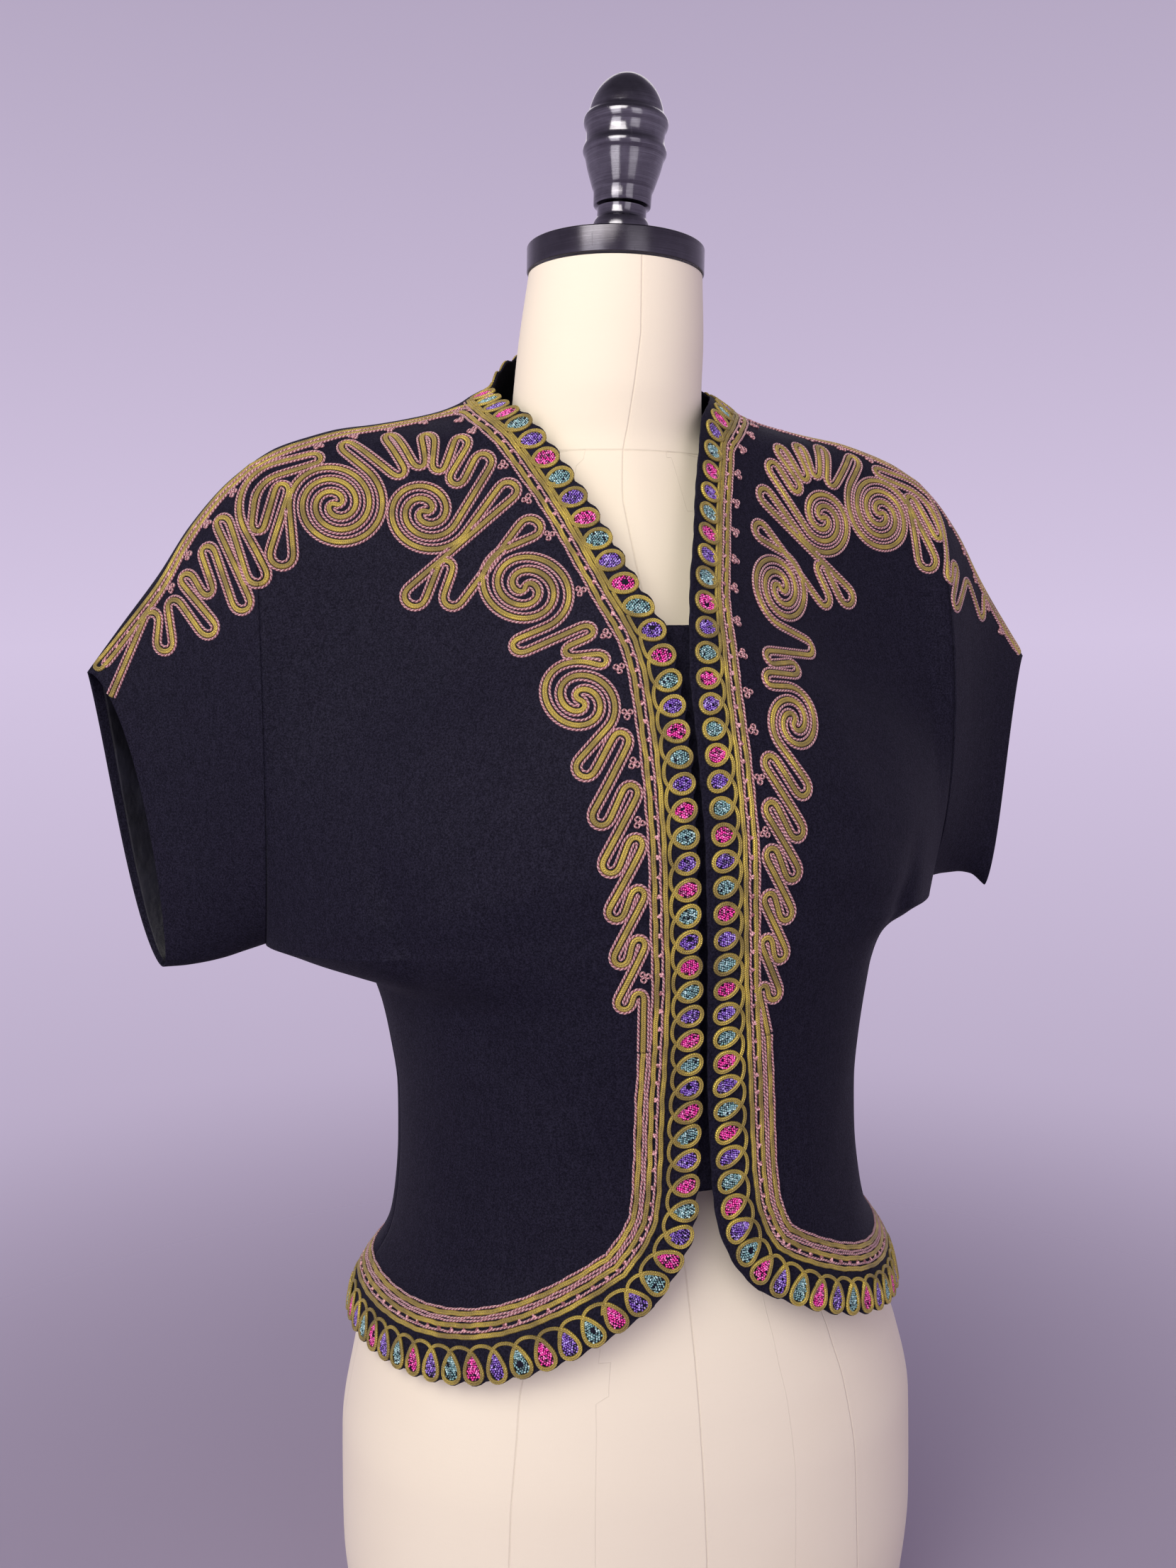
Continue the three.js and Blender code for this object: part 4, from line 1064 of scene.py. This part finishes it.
def cordFrame(points, normals, closed):
    if closed:
        tangents = unit(np.roll(points, -1, 0) - np.roll(points, 1, 0))
    else:
        tangents = unit(np.gradient(points, axis=0))
    normals = unit(normals - tangents * (tangents * normals).sum(1, keepdims=True))
    return tangents, normals, np.cross(tangents, normals)


def addCord(trim, points, normals, kind, closed=False, width=1.0, height=1.0):
    shape = np.array(cordShape[kind]) * mm * (width, height)
    _, normals, aside = cordFrame(points, normals, closed)
    n, m = len(points), len(shape)
    ring = points[:, None] + aside[:, None] * shape[None, :, :1] + normals[:, None] * shape[None, :, 1:]
    run = lengthsAlong(np.concatenate([points, points[:1]]))
    i, j = np.meshgrid(np.arange(n if closed else n - 1), np.arange(m), indexing='ij')
    k, following = (j + 1) % m, (i + 1) % n
    faces = np.stack([i * m + j, i * m + k, following * m + k, following * m + j], -1).reshape(-1, 4).tolist()
    across = shape[:, 0]
    lays = np.stack([np.stack([run[i], across[j]], -1), np.stack([run[i], across[k]], -1),
                     np.stack([run[i + 1], across[k]], -1), np.stack([run[i + 1], across[j]], -1)], 2).reshape(-1, 2)
    if not closed:
        faces += [list(range(m))[::-1], [(n - 1) * m + v for v in range(m)]]
        ends = [np.stack([np.full(m, run[0]), across[::-1]], -1), np.stack([np.full(m, run[n - 1]), across], -1)]
        lays = np.concatenate([lays, *ends])
    trim.add(ring.reshape(-1, 3), faces, lays)
    trim.length += float(run[n] if closed else run[n - 1])


def evenly(points, step):
    s = lengthsAlong(points)
    return sampled(np.linspace(0, s[-1], max(int(round(s[-1] / step)), 3) + 1), s, points)


def onCloth(points):
    found = [nearest(point) for point in points]
    return np.array([f[0] for f in found]), unit(smoothedAlong(np.array([f[1] for f in found]), 2))


# small domes, for beads and knots
bead = {
    "spacing": 1.2, "missing": 0.12, "tilt": 0.16, "length": 0.66, "lengthRange": (0.95, 1.25),
    "width": 0.66, "widthRange": (0.72, 0.9), "height": 0.62, "heightRange": (0.9, 1.3),
}
domeRings = [(1.0, -0.15), (0.86, 0.55)]
domeSides = 6


def domeShape():
    points = [(r * math.cos(a), r * math.sin(a), z) for r, z in domeRings
              for a in np.linspace(0, 2 * np.pi, domeSides, endpoint=False)]
    points.append((0, 0, 1.0))
    faces = []
    for k in range(domeSides):
        n = (k + 1) % domeSides
        faces.append((k, n, domeSides + n, domeSides + k))
        faces.append((domeSides + k, domeSides + n, 2 * domeSides))
    faces.append(tuple(range(domeSides))[::-1])
    return np.array(points), faces


domePoints, domeFaces = domeShape()
domeCorners = sum(len(face) for face in domeFaces)


def acrossFrom(normal, low, middle, high=0.93):      # two directions across a normal
    helper = (low, middle, high) if abs(normal[2]) < 0.9 else (high, middle, low)
    first = unit(np.cross(helper, normal))
    return first, np.cross(normal, first)


def addDome(trim, place, normal, size, turn, lay):      # size: length, width, height in metres
    first, second = acrossFrom(normal, 0.31, 0.17)
    along1 = first * math.cos(turn) + second * math.sin(turn)
    along2 = np.cross(normal, along1)
    shaped = domePoints * size
    points = place + shaped[:, :1] * along1 + shaped[:, 1:2] * along2 + shaped[:, 2:] * normal
    trim.add(points, domeFaces, np.tile(lay, (domeCorners, 1)))


# the beaded ovals and the lines of the border
ring = {      # half length along the edge, half depth across, how pointed the inner end is, lean, middle from the edge
    "front": (4.75, 5.75, 0.10, 0.10, 7.2), "lower": (4.8, 6.5, 0.22, 0.20, 7.7), "hem": (4.5, 7.3, 0.40, 0.0, 8.4),
    # where one shape passes into the next, in metres: height or place on the edge, and the length of the change
    "toLower": (0.47, 0.08), "toHem": (0.05, 0.06), "toNeck": (0.60, 0.04), "backShare": 0.3,
    "neckLean": {-1: -0.27, 1: 0.10}, "neckGrowth": 0.12, "neckInset": 0.5,
    "girth": 5.2, "step": 1.35, "lift": 0.35, "tailRise": 3.1, "tailRoom": 2.2,
    # along the edge, and in from the oval's inner end
    "tail": [(0.6, 0.5), (2.4, 2.0), (5.5, 2.9), (9.5, 3.1), (12.6, 1.9), (15.0, -0.8), (16.3, -3.4)],
}
lines = {      # distances in from the edge, in millimetres
    "firstGold": 19.6, "knotted": 21.9, "secondGold": 24.9, "pink": 27.1,
    "lowerPink": 28.5, "lowerGold": 30.6, "lastPink": 32.7, "lowerTop": 0.424,
    # kind, distance and where it starts
    "runs": [("gold", "firstGold", "back"), ("gold", "secondGold", "front"), ("pink", "knotted", "back"),
             ("pink", "pink", "front"), ("gold", "lowerGold", "lower"), ("pink", "lowerPink", "lower"),
             ("pink", "lastPink", "lower")],
    "knotPitch": 9.4, "step": 2.1,
    "neck": -3.4, "front": -1.7, "low": 1.4, "hem": 3.5,      # the whole band shifts as it goes round
    "levels": (0.40, 0.46, 0.60, 0.66), "toHem": (0.08, 0.12), "knotInset": 1.0, "knotSize": 1.2, "overNeck": 0.026,
}
beadOrder = {-1: ("purple", "magenta", "teal"), 1: ("purple", "teal", "magenta")}
trims = {}
sideNames = {-1: "right", 1: "left"}


def trimOf(kind, part):
    name = f"{kind}_{part}"
    if name not in trims:
        trims[name] = Trim(name, trimPaints[kind])
    return trims[name]


def partAt(side, s):      # which cloth panel lies under this place of the edge
    loop = loops[side]
    return "back" if s < loop["neck"] or s > loop["side"] else f"front_{sideNames[side]}"


def ovalShape(side, s):
    loop = loops[side]
    level = np.interp(s, loop["s"], loop["points"][:, 2])
    front, lower, hem = (np.array(ring[k]) for k in ("front", "lower", "hem"))
    if s < loop["neck"]:
        return np.append(mix(front, hem, ring["backShare"])[:4], front[4])
    (low, lowSpan), (early, hemSpan), (high, neckSpan) = ring["toLower"], ring["toHem"], ring["toNeck"]
    toLower = np.clip((low - level) / lowSpan, 0, 1) if s > loop["neck"] else 0.0
    toHem = np.clip((s - loop["corner"] + early) / hemSpan, 0, 1)
    shape = mix(mix(front, lower, toLower), hem, toHem)
    if level > high:
        share = np.clip((level - high) / neckSpan, 0, 1)
        shape[3] = mix(shape[3], ring["neckLean"][side], share)
        shape[:2] *= 1 + ring["neckGrowth"] * share
        shape[4] += ring["neckInset"] * share
    return shape


def lineShift(side, s):      # millimetres added to the distances of the border lines
    loop = loops[side]
    s = np.asarray(s, float)
    level = np.interp(s, loop["s"], loop["points"][:, 2])
    onFront = np.interp(level, lines["levels"], [lines[k] for k in ("low", "front", "front", "neck")])
    toHem = np.clip((s - loop["corner"] + lines["toHem"][0]) / lines["toHem"][1], 0, 1)
    return np.where(s < loop["neck"], lines["neck"], mix(onFront, lines["hem"], toHem))


def onBand(side, s, distance):      # a place in the border; its distance is in millimetres, before the shift
    return onBorder(side, s, marginAt(side, np.asarray(s)) + (distance + lineShift(side, s)) * mm)


def edgeAtLevel(side, level):      # how far along the edge the front reaches a height
    loop = loops[side]
    return np.interp(-level, -loop["points"][90:990, 2], loop["s"][90:990])


def addOval(side, index, s):
    halfLength, halfDepth, point, lean, depth = ovalShape(side, s)
    generator = np.random.default_rng(1000 * (side + 2) + index)
    halfLength *= generator.uniform(0.95, 1.04)
    halfDepth *= generator.uniform(0.95, 1.03)
    lean += generator.uniform(-0.06, 0.06)
    middle = float(marginAt(side, np.array(s))) / mm + depth
    # the offset line is shorter than the edge round the corner, so lengths along it are scaled
    ends, _ = onBorder(side, [s - 0.003, s + 0.003], middle * mm)
    stretch = 0.006 / max(np.linalg.norm(ends[1] - ends[0]), 1e-4)

    def placed(alongEdge, across):
        shear = lean * across * -side
        length = alongEdge * (1 - point * across / halfDepth) + shear
        return onBorder(side, s + length * stretch * mm, (middle + across) * mm)

    part = partAt(side, s)
    gold = trimOf("gold_cords", part)
    angle = np.linspace(0, 2 * np.pi, int(2 * math.pi * ring["girth"] / ring["step"]), endpoint=False)
    places, normals = placed(halfLength * np.sin(angle), halfDepth * np.cos(angle))
    addCord(gold, places + normals * ring["lift"] * mm, normals, "gold", closed=True, width=cordWidth["ring"])
    addTail(gold, side, s, halfDepth, depth, stretch)
    beads = trimOf("beads_" + beadOrder[side][index % 3], part)
    addBeads(beads, placed, halfLength, halfDepth, generator)


def addTail(gold, side, s, halfDepth, depth, stretch):      # runs in behind, passes the next oval, swings under it
    knots = np.array(ring["tail"])
    room = lines["firstGold"] + float(lineShift(side, s)) - ring["tailRoom"] - depth - halfDepth
    rise = knots[:, 1] > 0
    knots[rise, 1] *= min(1.0, room / ring["tailRise"])
    knots[:, 1] += halfDepth
    if side > 0:
        knots[:, 0] *= -1
    tail = smoothedAlong(sampled(np.linspace(0, 1, 24), np.linspace(0, 1, len(knots)), knots), 2)
    start = s + tail[:, 0] * stretch * mm
    if start.min() > 0 and start.max() < loops[side]["s"][-1]:
        places, normals = onBorder(side, start, marginAt(side, start) + (depth + tail[:, 1]) * mm)
        addCord(gold, places, normals, "gold", width=cordWidth["tail"])


def addBeads(beads, placed, halfLength, halfDepth, generator):      # packed inside the ring
    spacing, draw = bead["spacing"], generator.uniform
    rows = np.arange(-6, 7)
    grid = np.array([((i + 0.5 * (j % 2)) * spacing, j * spacing * 0.87) for j in rows for i in rows])
    grid = grid + draw(-0.16, 0.16, grid.shape)
    inside = (grid[:, 0] / (halfLength - 1.0)) ** 2 + (grid[:, 1] / (halfDepth - 1.05)) ** 2 < 1.0
    grid = grid[inside]
    if draw() < bead["missing"]:
        hole = draw(-1.6, 1.6, 2)
        grid = grid[np.hypot(*(grid - hole).T) > 1.5]
    else:
        grid = grid[draw(size=len(grid)) > 0.03]
    for place, normal in zip(*placed(grid[:, 0], grid[:, 1])):
        tilted = unit(normal + generator.normal(0, bead["tilt"], 3))
        size = np.array([bead[key] * draw(*bead[key + "Range"]) for key in ("length", "width", "height")]) * mm
        addDome(beads, place + normal * draw(0.0, 0.35) * mm, tilted, size, draw(0, np.pi), draw(size=2))


def threeWays(normal, start):      # three even directions round a normal, and the two they are turned between
    first, second = acrossFrom(normal, 0.3, 0.2)
    turns = [start + 2 * np.pi * k / 3 for k in range(3)]
    return [first * math.cos(turn) + second * math.sin(turn) for turn in turns], first, second


def addKnot(trim, place, normal, size, generator):      # three small lobes
    ways, _, _ = threeWays(normal, generator.uniform(0, 6.28))
    for way in ways:
        away = way * size * 0.55
        radius = size * generator.uniform(0.55, 0.75)
        addDome(trim, place + away + normal * 0.3 * mm, normal, np.array([radius, radius * 0.85, radius * 1.1]),
                generator.uniform(0, 3.1), (generator.uniform(), 0.0))


def addRosette(trim, place, normal, generator):      # three small loops of the pink cord
    ways, first, second = threeWays(normal, generator.uniform(0, 6.28))
    angle = np.linspace(0, 2 * np.pi, 10, endpoint=False)
    for k, way in enumerate(ways):
        middle = place + way * 1.65 * mm
        radius = generator.uniform(1.0, 1.25) * mm
        loop = middle + (first * np.cos(angle)[:, None] + second * np.sin(angle)[:, None]) * radius
        addCord(trim, loop + normal * (0.15 + 0.1 * k) * mm, np.tile(normal, (10, 1)), "pink", closed=True, width=0.85)


def lineWidth(kind):
    return cordWidth["line"] if kind == "gold" else 1.0


def addBorderLine(side, kind, distance, first):
    # split where the cloth panels meet, so that each length belongs to one panel
    loop = loops[side]
    last = loop["s"][-1]
    stops = [first] + [b for b in (loop["neck"], loop["side"]) if first < b < last] + [last]
    for start, end in zip(stops, stops[1:]):
        s = np.linspace(start, end, max(int((end - start) / (lines["step"] * mm)), 3))
        waver = 0.16 * np.sin(s * 310 + distance) + 0.1 * np.sin(s * 710 + 2 * distance)
        trim = trimOf(kind + "_cords", partAt(side, (start + end) / 2))
        addCord(trim, *onBand(side, s, distance + waver), kind, width=lineWidth(kind))


for side in (-1, 1):
    for index, place in enumerate(ovals[side]):
        addOval(side, index, place)
    starts = {"back": 0.0, "front": loops[side]["neck"] + lines["overNeck"],
              "lower": edgeAtLevel(side, lines["lowerTop"])}
    for kind, distance, start in lines["runs"]:
        addBorderLine(side, kind, lines[distance], starts[start])
    generator = np.random.default_rng(40 + side)
    for s in np.arange(0.004, loops[side]["s"][-1], lines["knotPitch"] * mm):
        place, normal = onBand(side, s, lines["knotted"] + lines["knotInset"])
        addKnot(trimOf("pink_knots", partAt(side, s)), place, normal, lines["knotSize"] * mm, generator)
print("borders laid")


# scrollwork: one cord band a side, wound round turning points and double spirals
# x and z of each turning centre on the wearer's right, its radius, the way round (1 anticlockwise from the front),
# and "spiral" where the band winds in to the centre and out again
scroll = {
    "start": {-1: (-273.0, 593.5), 1: (-280.5, 609.5)},
    "leftSleeve": [
        (-248.5, 643.5, 3.0, -1), (-239.5, 635.5, 3.2, 1), (-223.9, 651.5, 3.4, -1),
        (-203.5, 641.5, 4.2, 1), (-208.5, 661.5, 3.2, -1), (-199.5, 656.0, 2.8, 1),
    ],
    "rightSleeve": [
        (-250, 635, 3.6, -1), (-244, 621.5, 4.2, 1), (-238.5, 641.5, 3.4, -1),
        (-222, 629.5, 4.2, 1), (-231.5, 655, 3.4, -1), (-221.5, 649, 3.0, 1),
        (-220.5, 669, 3.4, -1), (-205, 642, 4.4, 1), (-212.5, 684, 3.4, -1),
        (-197, 656, 5.0, 1),
    ],
    "shoulder": [
        (-177, 690, 27.0, -1), (-164, 718, 3.0, -1),
        (-177, 690, 20.0, 1), (-195.5, 681, 3.0, 1), (-182, 701, 3.4, -1),
        (-184.5, 666, 6.0, 1), (-156, 692.5, 24.0, -1, "spiral"), (-147, 724, 3.6, -1),
        (-123.5, 710, 3.4, 1), (-124.5, 729, 3.0, -1), (-112.8, 714.5, 3.2, 1),
        (-106.4, 728, 3.2, -1), (-103.5, 712, 3.2, 1), (-90.5, 725, 3.4, -1),
        (-95.5, 705, 3.6, 1), (-81.5, 714, 4.2, -1), (-112, 688, 18.6, -1, "spiral"),
        (-71.5, 698, 4.4, -1), (-120.5, 644, 5.2, 1), (-104.5, 659, 3.4, -1),
        (-102.9, 642.5, 4.4, 1), (-63.5, 678, 4.8, -1), (-69.5, 647.5, 21.0, 1, "spiral"),
    ],
    "rightChest": [(-75, 618.5, 3.5, 1), (-45, 625.5, 2.8, -1), (-54, 615.5, 2.6, 1),
                   (-41.6, 611.5, 2.9, -1), (-53, 592.5, 17.8, 1, "spiral")],
    "leftChest": [(-81, 616, 4.0, 1), (-49, 611.5, 3.4, -1), (-64, 605.5, 3.2, 1),
                  (-45, 601, 3.4, -1), (-56, 579.5, 16.5, 1, "spiral")],
    # the meander down the front: lobes between its first and last turning points, growing smaller
    "meander": {"lobes": 6, "outer": (-54.5, -38.5), "inner": (-37.0, -32.0), "first": -31.5,
                "rise": (13.0, 5.0), "radius": (4.3, 3.5), "last": 434.0},
    "bandHalf": 2.42, "coreTwist": 9.0, "armPitch": 2.06,
}


def meanderTurns(top):
    values = scroll["meander"]
    count = values["lobes"]
    z = top + values["first"]
    fall = (z - values["last"]) / (count - 0.35)
    turns = []
    for k in range(count):
        share = k / (count - 1)
        outer = mix(values["outer"][0], values["outer"][1], share ** 0.7)
        inner = mix(values["inner"][0], values["inner"][1], share ** 0.6)
        radius = mix(*values["radius"], share)
        turns.append((outer, z - k * fall, radius, 1))
        turns.append((inner, z - k * fall + mix(*values["rise"], share), radius * 0.85, -1))
    turns[-1] = (-32.0, z - (count - 1) * fall + 3.0, 2.6, -1)
    return turns


def tangentAngle(a, b):      # heading of the straight run between two turning circles
    (x0, z0, r0, d0), (x1, z1, r1, d1) = a, b
    dx, dz = x1 - x0, z1 - z0
    share = (d1 * r1 - d0 * r0) / math.hypot(dx, dz)
    return math.atan2(dz, dx) - math.asin(max(-1.0, min(1.0, share)))


def spiralRadius(turn):
    return np.sqrt(scroll["coreTwist"] * turn + (scroll["armPitch"] * turn) ** 2)


def turnOfRadius(radius):
    twist, pitch = scroll["coreTwist"], scroll["armPitch"]
    return (-twist + math.sqrt(twist ** 2 + 4 * pitch ** 2 * radius ** 2)) / (2 * pitch ** 2)


def arc(x, z, radius, angle):
    return np.stack([x + radius * np.cos(angle), z + radius * np.sin(angle)], -1)


def scrollPath(stops):
    start, end = stops[0], stops[-1]
    circles = []      # entry and exit circle of each stop
    for x, z, radius, way, *spiral in stops[1:-1]:
        circles.append([(x, z, radius, way), (x, z, radius, -way if spiral else way)])
    first, last = (start[0], start[1], 0.0, 1), (end[0], end[1], 0.0, 1)
    turns = {}
    for _ in range(5):      # spirals: share the turns between the arms until both runs meet them
        headings = []
        chain = [first] + [c for pair in circles for c in pair] + [last]
        for k in range(0, len(chain), 2):
            headings.append(tangentAngle(chain[k], chain[k + 1]))
        for k, (x, z, radius, way, *spiral) in enumerate(stops[1:-1]):
            if not spiral:
                continue
            entry = headings[k] - way * math.pi / 2
            leave = headings[k + 1] + way * math.pi / 2
            excess = (way * (entry - leave + math.pi) + math.pi) % (2 * math.pi) - math.pi
            whole = turnOfRadius(radius)
            turns[k] = (entry, whole - excess / 2, whole + excess / 2)
            circles[k] = [(x, z, float(spiralRadius(t)), d) for t, d in zip(turns[k][1:], (way, -way))]
    path = [np.array([start])]
    for k, (x, z, radius, way, *spiral) in enumerate(stops[1:-1]):
        if spiral:
            entry, inward, outward = turns[k]
            turn = np.linspace(inward, 0, 120)
            angle = entry + way * (inward - turn)
            path.append(arc(x, z, spiralRadius(turn), angle))
            turn = np.linspace(0, outward, 120)[1:]
            angle = entry + way * inward + math.pi - way * turn
            path.append(arc(x, z, spiralRadius(turn), angle))
            continue
        low = headings[k] - way * math.pi / 2
        sweep = (way * (headings[k + 1] - headings[k])) % (2 * math.pi)
        if sweep > 2 * math.pi - 0.6:
            sweep = 0.0
        angle = low + way * np.linspace(0, sweep, max(int(sweep * radius / 0.5), 2))
        path.append(arc(x, z, radius, angle))
    path.append(np.array([end]))
    line = evenly(np.concatenate(path), 0.45)
    smooth = smoothedAlong(line, 3)
    smooth[[0, -1]] = line[[0, -1]]
    return smooth


def projected(line, side):      # lays a front-view line on the cloth
    places = []
    for x, z in line * mm:
        hit = clothTree.ray_cast(Vector((x * -side, -1.0, z)), Vector((0, 1, 0)))[0]
        depth = places[-1][1] if places else 0.045
        missed = hit is None or (places and abs(hit[1] - depth) > 0.012)      # past an edge, or through a seam
        places.append(tuple(nearest((x * -side, depth, z))[0] if missed else hit))
    return np.array(places)


def sidePart(point, side):      # the sleeve or front panel under a point
    beyond = abs(point[0]) > jacket["shoulderX"] * mm
    return f"sleeve_{sideNames[side]}" if beyond else f"front_{sideNames[side]}"


def addRun(kind, points, normals, side, width=1.0):      # splits a cord where it crosses the armhole
    parts = np.array([sidePart(p, side) for p in points])
    cuts = [0] + [k for k in range(1, len(parts)) if parts[k] != parts[k - 1]] + [len(parts) - 1]
    for low, high in zip(cuts, cuts[1:]):
        if high - low < 2:
            continue
        piece = slice(low, high + 1)
        addCord(trimOf(kind + "_cords", parts[low]), points[piece], normals[piece], kind, width=width)


def addScroll(side):
    sleeveTurns, chest = (scroll[sideNames[side] + part] for part in ("Sleeve", "Chest"))
    join, _ = onBand(side, edgeAtLevel(side, lines["lowerTop"]), lines["lowerGold"])
    end = (-abs(join[0]) / mm, join[2] / mm)
    stops = [*sleeveTurns, *scroll["shoulder"], *chest, *meanderTurns(chest[-1][1])]
    line = scrollPath([scroll["start"][side], *stops, end])
    places, normals = onCloth(evenly(smoothedAlong(projected(line, side), 2), 1.25 * mm))
    addRun("gold", places, normals, side, cordWidth["scroll"])
    _, _, aside = cordFrame(places, normals, False)
    for way in (-1, 1):
        pinkLine = smoothedAlong(places + aside * way * scroll["bandHalf"] * mm, 1)
        pinkPlaces, pinkNormals = onCloth(evenly(pinkLine, 1.15 * mm))
        addRun("pink", pinkPlaces, pinkNormals, side)
    return places


scrollPlaces = {side: addScroll(side) for side in (-1, 1)}
print("scrollwork laid")


# lines along the shoulder seam to the sleeve's tip, and the little rosettes
shoulderLines = {
    # the border line that each one goes on from, and its distance from the band's upper side
    "pairs": {"gold": [("firstGold", 0.6), ("secondGold", 6.2)], "pink": [("knotted", 3.4), ("pink", 8.4)]},
    "knotted": 3.4, "rosette": 11.4, "step": 1.6, "rosettePitch": 19.0, "clear": 6.0, "ease": 7,
    # how far in from the seam and fold the band runs: share of the way to the tip, millimetres
    "inset": [(0, 7), (0.15, 8.5), (0.35, 10), (0.75, 9.5), (0.92, 4.5), (1.0, 0.5)], "width": 14, "reach": 25,
}


def shoulderMap(side):
    seam = np.array(shoulderSeam)[:, 0]
    x = np.linspace(seam[0] + 1, seam[-1], 60)
    at = np.linspace(0.02, 0.99, 50)
    fold = [along(sleeveTable(side), column, at) for column in (1, 5, 2)]
    edge = np.concatenate([np.stack(line, -1) for line in ((x, *(along(shoulderSeam, k, x) for k in (1, 2))), fold)])
    edge = evenly((edge * (side, 1, 1) + (0, jacket["depthOffset"], 0)) * mm, 2.0 * mm)
    chains, _ = march(edge, side, shoulderLines["reach"], mm)
    insets = along(shoulderLines["inset"], 1, np.arange(len(edge)) / (len(edge) - 1))
    across, deep = np.arange(shoulderLines["width"]), np.arange(shoulderLines["reach"])
    return np.stack([sampled(inset + across, deep, chain) for inset, chain in zip(insets, chains)])


def shoulderLine(places, distance):
    j = int(distance)
    return mix(places[:, j], places[:, j + 1], distance - j)


def joined(side, borderDistance, places, shoulderDistance):
    # a border line that turns, at the neck, into the line beside the shoulder seam
    neck = loops[side]["neck"]
    s = np.arange(neck - 0.01, neck + 0.05, 0.001)
    front, _ = onBand(side, s, borderDistance)
    seam = evenly(shoulderLine(places, shoulderDistance), 1.0 * mm)
    gaps = np.linalg.norm(front[:, None] - seam[None], axis=2)
    i, j = np.unravel_index(np.argmin(gaps), gaps.shape)
    ease = shoulderLines["ease"]
    corner = np.concatenate([front[i + ease:i + ease + 12][::-1], seam[j + ease:]])
    corner = smoothedAlong(evenly(corner, 1.0 * mm), 3)
    return evenly(corner, shoulderLines["step"] * mm)


def addShoulder(side):
    places = shoulderMap(side)
    for kind in ("gold", "pink"):      # each pair turns back on itself at the sleeve's tip
        inner, outer = [joined(side, lines[line], places, distance) for line, distance in shoulderLines["pairs"][kind]]
        back = 1 if kind == "gold" else 3
        tip = np.concatenate([inner[:-back], outer[:-back][::-1]])
        line = evenly(smoothedAlong(evenly(tip, 1.0 * mm), 2), shoulderLines["step"] * mm)
        points, normals = onCloth(line)
        addRun(kind, points, normals, side, lineWidth(kind))
    generator = np.random.default_rng(70 + side)
    line = evenly(shoulderLine(places, shoulderLines["knotted"] + 1.0), lines["knotPitch"] * mm)[:-1]
    points, normals = onCloth(line)
    for point, normal in zip(points, normals):
        addKnot(trimOf("pink_knots", sidePart(point, side)), point, normal, 1.15 * mm, generator)
    return shoulderLine(places, shoulderLines["rosette"])[:-8]


def addRosettes(side, shoulderPlaces):
    s = np.arange(loops[side]["neck"] + 0.03, edgeAtLevel(side, 0.45), 0.0015)
    front, _ = onBand(side, s, lines["pink"] + 3.7)
    generator = np.random.default_rng(90 + side)
    for line in (front, evenly(shoulderPlaces, 1.5 * mm)):
        last = None
        for point in line:
            clear = np.linalg.norm(scrollPlaces[side] - point, axis=1).min()
            apart = np.inf if last is None else np.linalg.norm(point - last)
            if clear < shoulderLines["clear"] * mm or apart < shoulderLines["rosettePitch"] * mm:
                continue
            place, normal = nearest(point)
            addRosette(trimOf("pink_knots", sidePart(place, side)), place, normal, generator)
            last = point


for side in (-1, 1):
    addRosettes(side, addShoulder(side))
trimPieces = {name: trim.build() for name, trim in trims.items()}
for name, piece in trimPieces.items():
    piece.data.calc_loop_triangles()
    print(name, len(piece.data.loop_triangles), "triangles", round(trims[name].length, 2), "m of cord")


print("sizes written")
